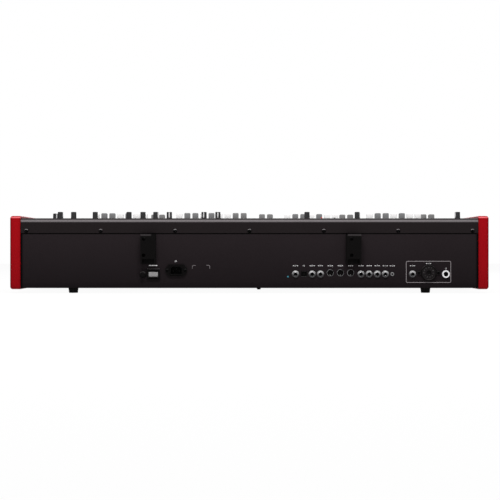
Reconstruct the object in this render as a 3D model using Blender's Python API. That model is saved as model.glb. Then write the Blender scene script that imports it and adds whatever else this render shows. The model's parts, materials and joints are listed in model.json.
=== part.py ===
"""Two-manual electronic drawbar organ, modelled as an assembly of separate pieces.

Units are metres. +Z is up, +X is the player's right and +Y points to the rear panel.
The origin is on the floor, in the middle of the overall box.
"""

import math

import bmesh
import bpy
from mathutils import Vector

# Fits and shared sheet sizes
GAP = 0.0003
SHEET = 0.002
BOARD = 0.0016

# Overall case
CASE_WIDTH = 1.053
CHEEK_DEPTH = 0.420
CHEEK_THICK = 0.0230
CHEEK_ROUND = 0.0045
CHEEK_TOP = 0.1700
CHEEK_BOTTOM = 0.0087
CHEEK_FLAT = 0.225
CHEEK_PROUD = 0.003
BRACKET_STANDOFF = 0.014
FOOT_HEIGHT = 0.0113
SEAM_HEIGHT = 0.1318
SEAM_GAP = 0.0021
COVER_TOP = 0.1654
COVER_BEND = 0.010
PANEL_MARGIN = 0.012
PANEL_SLOPE = math.radians(2.0)
LIP_BOTTOM = 0.1455
FLANGE_TAB = 0.014
CHEEK_CORNER = 0.0065
SHOULDER_HEIGHT = 0.150
SHOULDER_LEAD = 0.004
SHOULDER_RUN = 0.030
ARM_HEIGHT = 0.098
NOSE_HEIGHT = 0.090
CHEEK_NOSE_ROUND = 0.022

# Manuals
OCTAVES = 5
NATURAL_PITCH = 0.0235
KEY_GAP = 0.001
NATURAL_HEAD = 0.050
NATURAL_PLATE = 0.006
TAIL_BEYOND_SHARP = 0.015
WATERFALL_HEIGHT = 0.020
WATERFALL_THICK = 0.004
SHARP_WIDTH = 0.011
SHARP_TO_LIP = 0.003
SHARP_HEIGHT = 0.012
SHARP_SLOT = 0.0012
PIVOT_BEHIND_TAIL = 0.035
KEY_ARM_WIDTH = 0.007
HINGE_DROP = 0.010
ARM_THICK = 0.0032
SPINE_RISE = 0.005
SPINE_THICK = 0.003
SPINE_DEPTH = 0.005
SPINE_STEP = 0.008
UPPER_KEY_TOP = 0.143
LOWER_KEY_TOP = 0.082
MANUAL_STEP = 0.105
SLIP_GAP = 0.001
LOWER_SLIP_THICK = 0.013
LOWER_SLIP_TOP = 0.070
UPPER_SLIP_THICK = 0.006
UPPER_SLIP_TOP = 0.126
UPPER_SLIP_BOTTOM = 0.098
LOWER_DECK = 0.042
UPPER_DECK = 0.101
RIB_WIDTH = 0.008
RIB_TIP = 0.0005
SLIP_ROUND = 0.005
BLOCK_PROUD = 0.002
BLOCK_WALL = 0.003
BLOCK_BEHIND_LIP = 0.0055
KEY_SIDE_CLEAR = 0.001
KEY_RISER = 0.008
WATERFALL_INSET = 0.0001
SPINE_END = 0.004
BED_BEHIND_PIVOT = 0.026
BED_SETBACK = 0.006
CONTACT_START = 0.025
CONTACT_BOARD_DEPTH = 0.100
CONTACT_RIDGE_INSET = 0.030
CONTACT_RIDGE_SLANT = 0.005
CONTACT_RIDGE_HEIGHT = 0.020
CONTACT_SIDE_INSET = 0.010

# Drawbars
BAR_PITCH = 0.01825
CAP_WIDTH = 0.0133
CAP_DEPTH = 0.011
CAP_HEIGHT = 0.0160
CAP_CLEAR = 0.0005
STEM_WIDTH = 0.003
STEM_DEPTH = 0.004
RAIL_HEIGHT = 0.0074
BAR_PUSHED = 0.090
BAR_TRAVEL = 0.058
BAR_STEPS = 8
SLOT_CLEAR = 0.0008
CAP_ROUND = 0.0025
CAP_SLANT = 0.004
BOARD_HALF = 0.475
BOARD_BEHIND_LIP = 0.008
BOARD_REAR = 0.012
POST_PLACES = (-0.470, -0.4455, -0.253, -0.067, 0.1905, 0.358, 0.470)
POST_DEPTHS = (0.0155, 0.125)
POST_HALF = 0.003

# Knobs and buttons
KNOB_RADIUS = 0.0063
KNOB_TOP_RADIUS = 0.0059
KNOB_HEIGHT = 0.0148
KNOB_CLEAR = 0.0005
SHAFT_RADIUS = 0.003
SHAFT_CLEAR = 0.0005
POT_SIZE = 0.010
POT_HEIGHT = 0.0055
KNOB_ROW = 0.030
BUTTON_SIZE = 0.008
BUTTON_RISE = 0.0015
BUTTON_CLEAR = 0.0006
MAT_THICK = 0.0015
MAT_EDGE = 0.003

# Rear sockets
JACK_HEIGHT = 0.042
JACK_BORE = 0.0033
JACK_BUSH = 0.0045
JACK_NUT = 0.0075
JACK_NUT_THICK = 0.0025
JACK_BODY = 0.015
JACK_BODY_DEPTH = 0.020
JACK_DEPTH = 0.018
JACK_LEAD = 0.0008
BOARD_MARGIN = 0.0085
SOCKET_BOARD_HEIGHTS = {
    "phones_board": (0.030, 0.058),
    "pedal_midi_board": (0.030, 0.060),
    "output_board": (0.030, 0.058),
    "speaker_board": (0.016, 0.058),
}
HOLE_CLEAR = 0.0004
DIN_RADIUS = 0.0075
DIN_BORE = 0.0062
DIN_BODY = 0.019
DIN_DEPTH = 0.009
DIN_HEIGHT = 0.0449
USB_WIDTH = 0.0125
USB_HEIGHT = 0.011
USB_WALL = 0.0012
USB_DEPTH = 0.010
MINI_RADIUS = 0.0042
MINI_BORE = 0.00185
MINI_BODY = 0.009
MINI_HEIGHT = 0.042
SPEAKER_RADIUS = 0.017
SPEAKER_BORE = 0.0035
SPEAKER_BORE_DEPTH = 0.012
SPEAKER_BARREL = 0.0145
SPEAKER_BARREL_DEPTH = 0.016
SPEAKER_FACE = 0.003
SPEAKER_EARS = 0.0215
EAR_RADIUS = 0.004
SPEAKER_HEIGHT = 0.0451
INLET_WIDTH = 0.0343
INLET_HEIGHT = 0.0255
INLET_CAVITY_WIDTH = 0.0244
INLET_CAVITY_HEIGHT = 0.0163
INLET_CAVITY_DEPTH = 0.016
INLET_EAR = 0.020
INLET_BODY_WIDTH = 0.0274
INLET_BODY_HEIGHT = 0.0196
INLET_BODY_DEPTH = 0.020
INLET_FLANGE = 0.0022
INLET_RIM = 0.002
INLET_KEY = 0.004
PIN_WIDTH = 0.002
PIN_TALL = 0.004
PIN_SPREAD = 0.007
PIN_EARTH_RISE = 0.0028
PIN_LIVE_DROP = 0.0016
INLET_CENTRE = (0.1608, 0.0504)
FUSE_CENTRE = (0.2342, 0.0409)
FUSE_RADIUS = 0.0063
FUSE_BARREL = 0.005
FUSE_CAP = 0.008
FUSE_DEPTH = 0.025
SWITCH_CENTRE = (0.2113, 0.0416)
SWITCH_WIDTH = 0.0285
SWITCH_HEIGHT = 0.025
SWITCH_BODY_WIDTH = 0.0252
SWITCH_BODY_HEIGHT = 0.0218
SWITCH_BEZEL = 0.0022
SWITCH_WALL = 0.0014
SWITCH_DEPTH = 0.020
SWITCH_WELL = 0.014
ROCKER_PIVOT = 0.004
ROCKER_LIFT = 0.0022
ROCKER_BACK = 0.004
ROCKER_TIP_CLEAR = 0.0013
ROCKER_TRAVEL = math.radians(12.0)

# Brackets and feet
BRACKET_WIDTH = 0.033
BRACKET_HEIGHT = 0.066
BRACKET_TOP = 0.1298
BRACKET_WALL = 0.002
BRACKET_CENTRES = {"right": 0.222, "left": -0.2285}
BRACKET_SCREW_SIDES = {"right": 0.0094, "left": 0.0046}
BRACKET_SCREW_DROPS = (0.0104, 0.0464)
BRACKET_ACCESS_RADIUS = 0.004
BRACKET_NOTCH_WIDTH = 0.026
BRACKET_NOTCH_HEIGHT = 0.0112
FOOT_RADIUS = 0.0112
FOOT_TAPER = 0.0013
REAR_FOOT_X = 0.391
REAR_FOOT_INSET = 0.030
FRONT_FOOT_X = 0.432
FRONT_FOOT_INSET = 0.330
CENTRE_STUD_X = -0.022
CENTRE_STUD_INSET = 0.200
CENTRE_STUD_RADII = (0.003, 0.006)
CENTRE_STUD_BOTTOM = 0.0022

# Electronics on the floor tray
MAIN_BOARD_X = (-0.080, 0.090)
MAIN_BEHIND_BED = 0.0205
INNER_TO_REAR = 0.0415
MAIN_POST = 0.006
CHIP_THICK = 0.003
SUPPLY_X = (0.125, 0.255)
SUPPLY_BEHIND_BED = 0.0305
SUPPLY_HEIGHT = 0.040
SUPPLY_CHAMFER = 0.004

# Places across the width
KNOB_PLACES = (-0.4623, -0.2398, -0.1280, 0.0700, 0.1009, 0.1780, 0.2080,
               0.2365, 0.2676, 0.3425, 0.3905, 0.4200)
LONE_KNOB = (0.439, 0.086)
JACK_PLACES = {
    "phones_board": (-0.1014,),
    "pedal_midi_board": (-0.1381, -0.1562),
    "output_board": (-0.2455, -0.2633, -0.2811, -0.2989),
    "speaker_board": (-0.3587, -0.4320),
}
DIN_PLACES = (-0.1779, -0.2001, -0.2226)
USB_PLACE = -0.1201
MINI_PLACE = -0.3143
SPEAKER_PLACE = -0.3941
BUTTON_GROUPS = {
    "function_buttons": [(x, d) for d in (0.060, 0.078) for x in (0.362, 0.382, 0.402)],
    "centre_buttons": [(-0.008, d) for d in (0.050, 0.070, 0.090, 0.110)],
}
SET_STARTS = {"bass": -0.0472, "upper_a": -0.419, "upper_b": -0.233,
              "lower_a": 0.013, "lower_b": 0.202}

# Drawbar groups: set, first bar, bar count, steps pulled at rest
DRAWBAR_GROUPS = (
    ("upper_a", "brown", 0, 2, 6.5),
    ("upper_a", "other", 2, 7, 0.5),
    ("upper_b", "brown", 0, 2, 8.0),
    ("upper_b", "other", 2, 7, 5.0),
    ("bass", "brown", 0, 2, 6.0),
    ("lower_a", "brown", 0, 2, 0.0),
    ("lower_a", "other", 2, 7, 0.0),
    ("lower_b", "brown", 0, 2, 8.0),
    ("lower_b", "other", 2, 7, 1.0),
)

# Levels worked out from the sizes above
FRONT = -(CHEEK_DEPTH + BRACKET_STANDOFF - CHEEK_PROUD) / 2
CHEEK_REAR = FRONT + CHEEK_DEPTH
REAR = CHEEK_REAR - CHEEK_PROUD
INNER = CASE_WIDTH / 2 - CHEEK_THICK - GAP
WALL_IN = REAR - SHEET
FLOOR_TOP = FOOT_HEIGHT + SHEET
LOWER_FRONT = FRONT + LOWER_SLIP_THICK + SLIP_GAP
UPPER_FRONT = LOWER_FRONT + MANUAL_STEP
PANEL_DEPTH = BAR_PUSHED + BAR_TRAVEL + PANEL_MARGIN
BOARD_FRONT = PANEL_DEPTH - BOARD_BEHIND_LIP
NATURAL_WIDTH = NATURAL_PITCH - KEY_GAP
SHARP_LENGTH = REAR - PANEL_DEPTH - SHARP_TO_LIP - UPPER_FRONT - NATURAL_HEAD
NATURAL_TAIL = NATURAL_HEAD + SHARP_LENGTH + TAIL_BEYOND_SHARP
KEY_REACH = NATURAL_TAIL + PIVOT_BEHIND_TAIL
LOWER_BED_REAR = LOWER_FRONT + KEY_REACH + BED_BEHIND_PIVOT
MAIN_BOARD_Y = (LOWER_BED_REAR + MAIN_BEHIND_BED, REAR - INNER_TO_REAR)
SUPPLY_Y = (LOWER_BED_REAR + SUPPLY_BEHIND_BED, REAR - INNER_TO_REAR)
NATURALS = 7 * OCTAVES + 1
MANUAL_HALF = NATURALS * NATURAL_PITCH / 2
PANEL_UNDER = -SHEET - GAP
DRAWBAR_BOARD_TOP = PANEL_UNDER - RAIL_HEIGHT - GAP
BASE_FRONT = FRONT + LOWER_SLIP_THICK + GAP
SOCKET_BOARD_Y = WALL_IN - GAP - JACK_BODY_DEPTH


def clear_scene():
    for item in list(bpy.data.objects):
        bpy.data.objects.remove(item, do_unlink=True)


def material(name, colour, roughness, metallic=0.0):
    """Return a plain shaded material with an sRGB colour given as 0 to 255."""
    found = bpy.data.materials.get(name)
    if found:
        return found
    made = bpy.data.materials.new(name)
    made.use_nodes = True
    shader = made.node_tree.nodes["Principled BSDF"]
    linear = [(c / 255) ** 2.2 for c in colour]
    shader.inputs["Base Color"].default_value = (*linear, 1.0)
    shader.inputs["Roughness"].default_value = roughness
    shader.inputs["Metallic"].default_value = metallic
    made.diffuse_color = (*linear, 1.0)
    return made


def red_paint():
    return material("red_paint", (150, 17, 23), 0.35)


def black_steel():
    return material("black_steel", (36, 31, 33), 0.5, 0.3)


def white_key():
    return material("white_key", (236, 234, 226), 0.3)


def black_key():
    return material("black_key", (22, 22, 23), 0.35)


def black_plastic():
    return material("black_plastic", (40, 40, 41), 0.5)


def brown_plastic():
    return material("brown_plastic", (92, 58, 42), 0.45)


def board_green():
    return material("board_green", (28, 70, 44), 0.6)


def bare_steel():
    return material("bare_steel", (150, 150, 152), 0.4, 0.9)


def rubber():
    return material("rubber", (24, 24, 24), 0.85)


def box(bm, x, y, z):
    """Add a closed box from three (low, high) pairs."""
    low = Vector((x[0], y[0], z[0]))
    high = Vector((x[1], y[1], z[1]))
    made = bmesh.ops.create_cube(bm, size=1.0)
    bmesh.ops.scale(bm, vec=high - low, verts=made["verts"])
    bmesh.ops.translate(bm, vec=(low + high) / 2, verts=made["verts"])


def extrude_outline(bm, corners, shift):
    """Add a closed prism: a flat outline of points and its copy moved by shift."""
    near = [bm.verts.new(c) for c in corners]
    far = [bm.verts.new(Vector(c) + Vector(shift)) for c in corners]
    bm.faces.new(near)
    bm.faces.new(list(reversed(far)))
    for i in range(len(near)):
        j = (i + 1) % len(near)
        bm.faces.new((near[i], far[i], far[j], near[j]))


def prism_x(bm, outline, x0, x1):
    """Add a side outline of (y, z) points, drawn out from x0 to x1."""
    extrude_outline(bm, [(x0, y, z) for y, z in outline], (x1 - x0, 0, 0))


def prism_y(bm, outline, y0, y1):
    """Add an outline of (x, z) points, drawn out from y0 to y1."""
    extrude_outline(bm, [(x, y0, z) for x, z in outline], (0, y1 - y0, 0))


def circle(centre, radius, sides, start=0.0):
    """Return the corners of a regular polygon round a centre."""
    step = 2 * math.pi / sides
    return [(centre[0] + radius * math.cos(start + step * i),
             centre[1] + radius * math.sin(start + step * i)) for i in range(sides)]


def rod_y(bm, centre, radius, y0, y1, sides=12):
    """Add a round rod along Y, centred on an (x, z) point."""
    prism_y(bm, circle(centre, radius, sides, math.pi / sides), y0, y1)


def cone_z(bm, centre, radii, z0, z1, sides=16):
    """Add an upright round body whose radius goes from radii[0] to radii[1]."""
    low = [bm.verts.new((x, y, z0)) for x, y in circle(centre, radii[0], sides)]
    high = [bm.verts.new((x, y, z1)) for x, y in circle(centre, radii[1], sides)]
    bm.faces.new(low)
    bm.faces.new(list(reversed(high)))
    for i in range(sides):
        j = (i + 1) % sides
        bm.faces.new((low[i], high[i], high[j], low[j]))


def arc(centre, radius, start, end, steps):
    """Return points along an arc, angles in degrees."""
    points = []
    for i in range(steps + 1):
        angle = math.radians(start + (end - start) * i / steps)
        points.append((centre[0] + radius * math.cos(angle),
                       centre[1] + radius * math.sin(angle)))
    return points


def ease(start, end, steps):
    """Return points along an S-shaped fall between two (y, z) points."""
    points = []
    for i in range(steps + 1):
        t = i / steps
        blend = t * t * (3 - 2 * t)
        points.append((start[0] + (end[0] - start[0]) * t,
                       start[1] + (end[1] - start[1]) * blend))
    return points


def finish_mesh(name, bm, origin):
    bmesh.ops.recalc_face_normals(bm, faces=bm.faces)
    bmesh.ops.translate(bm, vec=-Vector(origin), verts=bm.verts)
    mesh = bpy.data.meshes.new(name)
    bm.to_mesh(mesh)
    bm.free()
    return mesh


def add_object(name, bm, paint, origin=(0, 0, 0), parent=None, smooth=False):
    """Turn a bmesh into a named object with its origin where its joint or seat is."""
    mesh = finish_mesh(name, bm, origin)
    mesh.materials.append(paint)
    made = bpy.data.objects.new(name, mesh)
    made.location = origin
    made.parent = parent
    bpy.context.scene.collection.objects.link(made)
    if smooth:
        mesh.shade_smooth()
        mesh.set_sharp_from_angle(angle=math.radians(35))
    return made


def add_helper(target, bm, operation, tag):
    """Boolean a hidden helper shape into the target, in the target's own parent space."""
    mesh = finish_mesh(target.name + tag, bm, (0, 0, 0))
    helper = bpy.data.objects.new(target.name + tag, mesh)
    helper.parent = target.parent
    helper.hide_render = True
    helper.display_type = 'WIRE'
    bpy.context.scene.collection.objects.link(helper)
    step = target.modifiers.new(operation.lower(), 'BOOLEAN')
    step.operation = operation
    step.solver = 'EXACT'
    step.object = helper
    step.use_self = operation == 'UNION'


def add_panel_frame():
    """Return an empty on the panel's top face at its rear edge, tilted with the panel."""
    frame = bpy.data.objects.new("panel_frame", None)
    frame.location = (0, REAR, COVER_TOP)
    frame.rotation_euler = (PANEL_SLOPE, 0, 0)
    bpy.context.scene.collection.objects.link(frame)
    return frame


def panel_height(depth):
    """Height of the panel's top face at a depth in front of the rear panel."""
    return COVER_TOP - depth * math.tan(PANEL_SLOPE)


def add_wall_holes(bm):
    """Add cutters for every fitting that passes through the rear wall."""
    through = (WALL_IN - SHEET, REAR + SHEET)
    for places in JACK_PLACES.values():
        for x in places:
            rod_y(bm, (x, JACK_HEIGHT), JACK_BUSH + HOLE_CLEAR, *through)
    for x in DIN_PLACES:
        rod_y(bm, (x, DIN_HEIGHT), DIN_RADIUS + HOLE_CLEAR, *through)
    rod_y(bm, (MINI_PLACE, MINI_HEIGHT), MINI_RADIUS + HOLE_CLEAR, *through)
    rod_y(bm, (SPEAKER_PLACE, SPEAKER_HEIGHT), SPEAKER_BARREL + HOLE_CLEAR, *through, 24)
    rod_y(bm, FUSE_CENTRE, FUSE_BARREL + HOLE_CLEAR, *through)
    for centre, width, height in (
            ((USB_PLACE, JACK_HEIGHT), USB_WIDTH, USB_HEIGHT),
            (INLET_CENTRE, INLET_BODY_WIDTH, INLET_BODY_HEIGHT),
            (SWITCH_CENTRE, SWITCH_BODY_WIDTH, SWITCH_BODY_HEIGHT)):
        half_x = width / 2 + HOLE_CLEAR
        half_z = height / 2 + HOLE_CLEAR
        box(bm, (centre[0] - half_x, centre[0] + half_x), through,
            (centre[1] - half_z, centre[1] + half_z))


def build_base():
    """Floor tray and rear wall in one folded sheet, stepped in behind the cover's flange."""
    top = SEAM_HEIGHT - SEAM_GAP
    tab = WALL_IN - GAP
    outline = [(BASE_FRONT, FOOT_HEIGHT), (REAR, FOOT_HEIGHT), (REAR, top), (tab, top),
               (tab, top + FLANGE_TAB), (tab - SHEET, top + FLANGE_TAB), (tab - SHEET, top - SHEET),
               (WALL_IN, top - SHEET), (WALL_IN, FLOOR_TOP), (BASE_FRONT, FLOOR_TOP)]
    bm = bmesh.new()
    prism_x(bm, outline, -INNER, INNER)
    base = add_object("base_chassis", bm, black_steel())
    stud = bmesh.new()
    cone_z(stud, (CENTRE_STUD_X, REAR - CENTRE_STUD_INSET), CENTRE_STUD_RADII,
           CENTRE_STUD_BOTTOM, FOOT_HEIGHT + SHEET / 2, 12)
    add_helper(base, stud, 'UNION', "_stud")
    holes = bmesh.new()
    add_wall_holes(holes)
    add_helper(base, holes, 'DIFFERENCE', "_holes")


def build_top_cover(panel):
    """Sloped control panel with a rear flange down to the seam and a short front lip."""
    front = REAR - PANEL_DEPTH
    shoulder = REAR - COVER_BEND
    high = panel_height(COVER_BEND)
    outer = arc((shoulder, high - COVER_BEND), COVER_BEND, 0, 90, 9)
    inner = arc((shoulder, high - COVER_BEND), COVER_BEND - SHEET, 90, 0, 6)
    lip = panel_height(PANEL_DEPTH)
    outline = [(REAR, SEAM_HEIGHT)] + outer
    outline += [(front, lip), (front, LIP_BOTTOM), (front + SHEET, LIP_BOTTOM),
                (front + SHEET, lip - SHEET)]
    outline += inner + [(WALL_IN, SEAM_HEIGHT)]
    bm = bmesh.new()
    prism_x(bm, outline, -INNER, INNER)
    cover = add_object("top_cover", bm, black_steel())
    holes = bmesh.new()
    add_panel_holes(holes)
    add_helper(cover, holes, 'DIFFERENCE', "_slots")
    bpy.data.objects["top_cover_slots"].parent = panel


def add_panel_holes(bm):
    """Add cutters, in the panel's own frame, for the drawbar stems, knob shafts and buttons."""
    through = (-2 * SHEET, SHEET)
    half_slot = STEM_WIDTH / 2 + SLOT_CLEAR
    reach = STEM_DEPTH / 2 + SLOT_CLEAR
    for start, count in ((SET_STARTS["bass"], 2), (SET_STARTS["upper_a"], 9),
                         (SET_STARTS["upper_b"], 9), (SET_STARTS["lower_a"], 9),
                         (SET_STARTS["lower_b"], 9)):
        for i in range(count):
            x = start + i * BAR_PITCH
            box(bm, (x - half_slot, x + half_slot),
                (-BAR_PUSHED - BAR_TRAVEL - reach, -BAR_PUSHED + reach), through)
    for x, depth in knob_places():
        cone_z(bm, (x, -depth), (SHAFT_RADIUS + SHAFT_CLEAR,) * 2, *through, 12)
    half = BUTTON_SIZE / 2 + BUTTON_CLEAR
    for places in BUTTON_GROUPS.values():
        for x, depth in places:
            box(bm, (x - half, x + half), (-depth - half, -depth + half), through)


def knob_places():
    return [(x, KNOB_ROW) for x in KNOB_PLACES] + [LONE_KNOB]


def cheek_outline():
    """Side view of a painted end cheek, as (y, z) points."""
    r = CHEEK_CORNER
    nose = CHEEK_NOSE_ROUND
    shoulder = (UPPER_FRONT - SHOULDER_LEAD, SHOULDER_HEIGHT)
    hollow = (shoulder[0] - SHOULDER_RUN, ARM_HEIGHT)
    outline = arc((CHEEK_REAR - r, CHEEK_BOTTOM + r), r, -90, 0, 3)
    outline += arc((CHEEK_REAR - r, CHEEK_TOP - r), r, 0, 90, 3)
    outline += ease((CHEEK_REAR - CHEEK_FLAT, CHEEK_TOP), shoulder, 6)
    outline += ease(shoulder, hollow, 6)[1:]
    outline += arc((FRONT + nose, NOSE_HEIGHT - nose), nose, 90, 180, 5)
    outline += arc((FRONT + r, CHEEK_BOTTOM + r), r, 180, 270, 3)
    return outline


def build_cheek(name, side):
    """One painted cheek; side is -1 for the player's left and 1 for the right."""
    inside = side * (CASE_WIDTH / 2 - CHEEK_THICK)
    outside = side * CASE_WIDTH / 2
    bm = bmesh.new()
    prism_x(bm, cheek_outline(), inside, outside)
    bm.faces.ensure_lookup_table()
    rim = [e for e in bm.edges
           if all(abs(v.co.x - outside) < 1e-6 for v in e.verts)]
    bmesh.ops.bevel(bm, geom=rim, offset=CHEEK_ROUND, segments=3, profile=0.5,
                    affect='EDGES', clamp_overlap=True)
    add_object(name, bm, red_paint(), smooth=True)


def build_slips():
    """Strips in front of each manual, the lower one with a rounded top front edge."""
    r = SLIP_ROUND
    rear = FRONT + LOWER_SLIP_THICK
    outline = [(rear, FOOT_HEIGHT), (rear, LOWER_SLIP_TOP)]
    outline += arc((FRONT + r, LOWER_SLIP_TOP - r), r, 90, 180, 4) + [(FRONT, FOOT_HEIGHT)]
    bm = bmesh.new()
    prism_x(bm, outline, -INNER, INNER)
    add_object("lower_key_slip", bm, black_steel())
    rear = UPPER_FRONT - SLIP_GAP
    front = rear - UPPER_SLIP_THICK
    bm = bmesh.new()
    prism_x(bm, [(rear, UPPER_SLIP_BOTTOM), (rear, UPPER_SLIP_TOP),
                 (front + UPPER_SLIP_THICK / 3, UPPER_SLIP_TOP),
                 (front, UPPER_SLIP_TOP - UPPER_SLIP_THICK / 3), (front, UPPER_SLIP_BOTTOM)],
            -INNER, INNER)
    add_object("upper_key_slip", bm, black_steel())


def build_key_block(name, side):
    """Hollow stepped block that fills the end of both manuals, open underneath."""
    step = UPPER_FRONT - SLIP_GAP + GAP
    low = FLOOR_TOP + GAP
    tread = LOWER_KEY_TOP + BLOCK_PROUD
    top = LIP_BOTTOM - GAP
    rear = REAR - PANEL_DEPTH + BLOCK_BEHIND_LIP
    w = BLOCK_WALL
    inside = side * (MANUAL_HALF + KEY_SIDE_CLEAR)
    outside = side * INNER - side * GAP
    bm = bmesh.new()
    prism_x(bm, [(LOWER_FRONT, low), (LOWER_FRONT, tread), (step, tread), (step, top),
                 (rear, top), (rear, low)], inside, outside)
    block = add_object(name, bm, black_plastic())
    hollow = bmesh.new()
    prism_x(hollow, [(LOWER_FRONT + w, low - w), (LOWER_FRONT + w, tread - w),
                     (step + w, tread - w), (step + w, top - w), (rear - w, top - w),
                     (rear - w, low - w)], inside + side * w, outside - side * w)
    add_helper(block, hollow, 'DIFFERENCE', "_hollow")


def key_bed_outline(front, deck, pivot, key_top):
    """Deck sheet with the rib that the keys rock on, as (y, z) points."""
    rear = pivot + BED_BEHIND_PIVOT
    apex = key_top - HINGE_DROP
    half = RIB_WIDTH / 2
    return [(front, deck - SHEET), (front, deck), (pivot - half, deck),
            (pivot - RIB_TIP, apex), (pivot + RIB_TIP, apex), (pivot + half, deck),
            (rear, deck), (rear, deck - SHEET)]


def build_key_beds():
    """Lower bed on two legs to the floor tray, upper bed carried between the end blocks."""
    half = MANUAL_HALF + KEY_SIDE_CLEAR - GAP
    pivot = LOWER_FRONT + KEY_REACH
    foot = FLOOR_TOP + GAP
    front = LOWER_FRONT + BED_SETBACK
    outline = key_bed_outline(front, LOWER_DECK, pivot, LOWER_KEY_TOP)
    rear = pivot + BED_BEHIND_PIVOT
    under = LOWER_DECK - SHEET
    legs = [(rear, foot), (rear - SHEET, foot), (rear - SHEET, under),
            (front + SHEET, under), (front + SHEET, foot), (front, foot)]
    bm = bmesh.new()
    prism_x(bm, outline[1:-1] + legs, -half, half)
    add_object("lower_key_bed", bm, bare_steel())
    pivot = UPPER_FRONT + KEY_REACH
    outline = key_bed_outline(UPPER_FRONT - SLIP_GAP + GAP, UPPER_DECK, pivot, UPPER_KEY_TOP)
    bm = bmesh.new()
    prism_x(bm, outline, -half, half)
    add_object("upper_key_bed", bm, bare_steel())


def build_contact_board(name, front, deck):
    """Contact board on the deck with a rubber contact ridge under the keys."""
    low = deck + GAP
    y0 = front + CONTACT_START
    ridge = y0 + CONTACT_RIDGE_INSET
    outline = [(y0, low), (y0, low + BOARD), (ridge, low + BOARD),
               (ridge + CONTACT_RIDGE_SLANT, low + CONTACT_RIDGE_HEIGHT),
               (ridge + 2 * CONTACT_RIDGE_SLANT, low + CONTACT_RIDGE_HEIGHT),
               (ridge + 3 * CONTACT_RIDGE_SLANT, low + BOARD),
               (y0 + CONTACT_BOARD_DEPTH, low + BOARD), (y0 + CONTACT_BOARD_DEPTH, low)]
    bm = bmesh.new()
    half = MANUAL_HALF - CONTACT_SIDE_INSET
    prism_x(bm, outline, -half, half)
    add_object(name, bm, board_green())


SHARP_OFFSETS = {0: -0.0025, 1: 0.0025, 3: -0.0035, 4: 0.0, 5: 0.0035}


def sharp_centre(natural):
    """X of the sharp just right of a natural, or None where there is none."""
    offset = SHARP_OFFSETS.get(natural % 7)
    if offset is None or not 0 <= natural < NATURALS - 1:
        return None
    return -MANUAL_HALF + (natural + 1) * NATURAL_PITCH + offset


def key_arm(bm, x, start, key_top, pivot, lane):
    """Add the arm from under a key, low over the rib, to its comb's spine."""
    base = key_top - HINGE_DROP
    low = base + GAP
    high = low + ARM_THICK
    spine = base + SPINE_RISE + SPINE_THICK / 2
    back = pivot - SPINE_DEPTH / 2 + lane * SPINE_STEP
    inset = SPINE_DEPTH / 10
    outline = [(start, low), (back + SPINE_DEPTH - inset, low),
               (back + SPINE_DEPTH - inset, spine), (back + inset, spine), (back + inset, high),
               (start + KEY_RISER, high), (start + KEY_RISER, key_top - NATURAL_PLATE / 2),
               (start, key_top - NATURAL_PLATE / 2)]
    prism_x(bm, outline, x - KEY_ARM_WIDTH / 2, x + KEY_ARM_WIDTH / 2)


def natural_key(bm, natural, front, key_top, pivot, lane):
    """Add one natural: notched plate, waterfall front and arm."""
    x0 = -MANUAL_HALF + natural * NATURAL_PITCH + (NATURAL_PITCH - NATURAL_WIDTH) / 2
    x1 = x0 + NATURAL_WIDTH
    slot = SHARP_WIDTH / 2 + SHARP_SLOT
    left = sharp_centre(natural - 1)
    right = sharp_centre(natural)
    t0 = x0 if left is None else left + slot
    t1 = x1 if right is None else right - slot
    head = front + NATURAL_HEAD
    tail = front + NATURAL_TAIL
    plan = [(x0, front), (x1, front), (x1, head)]
    plan += [(t1, head)] if right is not None else []
    plan += [(t1, tail), (t0, tail)]
    plan += [(t0, head)] if left is not None else []
    plan += [(x0, head)]
    low = key_top - NATURAL_PLATE
    extrude_outline(bm, [(x, y, low) for x, y in plan], (0, 0, NATURAL_PLATE))
    inset = WATERFALL_INSET
    box(bm, (x0 + inset, x1 - inset), (front + inset, front + WATERFALL_THICK),
        (key_top - WATERFALL_HEIGHT, key_top - NATURAL_PLATE / 2))
    key_arm(bm, (t0 + t1) / 2, tail - 1.5 * KEY_RISER, key_top, pivot, lane)


def sharp_key(bm, x, front, key_top, pivot):
    """Add one sharp with its slanted front, and its arm."""
    y0 = front + NATURAL_HEAD + SHARP_SLOT
    y1 = front + NATURAL_HEAD + SHARP_LENGTH
    low = key_top - NATURAL_PLATE
    high = key_top + SHARP_HEIGHT
    prism_x(bm, [(y0, low), (y0, key_top), (y0 + SHARP_HEIGHT / 2, high), (y1, high), (y1, low)],
            x - SHARP_WIDTH / 2, x + SHARP_WIDTH / 2)
    key_arm(bm, x, y1 - 1.5 * KEY_RISER, key_top, pivot, 2)


def build_manual(label, front, key_top):
    """Three key combs that rock on one rib: C-E-G-B, D-F-A and the sharps."""
    pivot = front + KEY_REACH
    base = key_top - HINGE_DROP
    groups = (("ceg", (0, 2, 4, 6), 0, white_key()), ("dfa", (1, 3, 5), 1, white_key()),
              ("sharp", (), 2, black_key()))
    for tag, steps, lane, paint in groups:
        bm = bmesh.new()
        if steps:
            keys = [n for n in range(NATURALS) if n % 7 in steps]
            for natural in keys:
                natural_key(bm, natural, front, key_top, pivot, lane)
        else:
            for natural in range(NATURALS):
                if sharp_centre(natural) is not None:
                    sharp_key(bm, sharp_centre(natural), front, key_top, pivot)
        comb = add_object(f"{label}_{tag}_keys", bm, paint, (0, pivot, base))
        first = min(v.co.x for v in comb.data.vertices)
        last = max(v.co.x for v in comb.data.vertices)
        back = pivot - SPINE_DEPTH / 2 + lane * SPINE_STEP
        spine = bmesh.new()
        box(spine, (first + SPINE_END, last - SPINE_END), (back, back + SPINE_DEPTH),
            (base + SPINE_RISE, base + SPINE_RISE + SPINE_THICK))
        add_helper(comb, spine, 'UNION', "_spine")


def drawbar_paint(index):
    return brown_plastic() if index < 2 else black_plastic()


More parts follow.
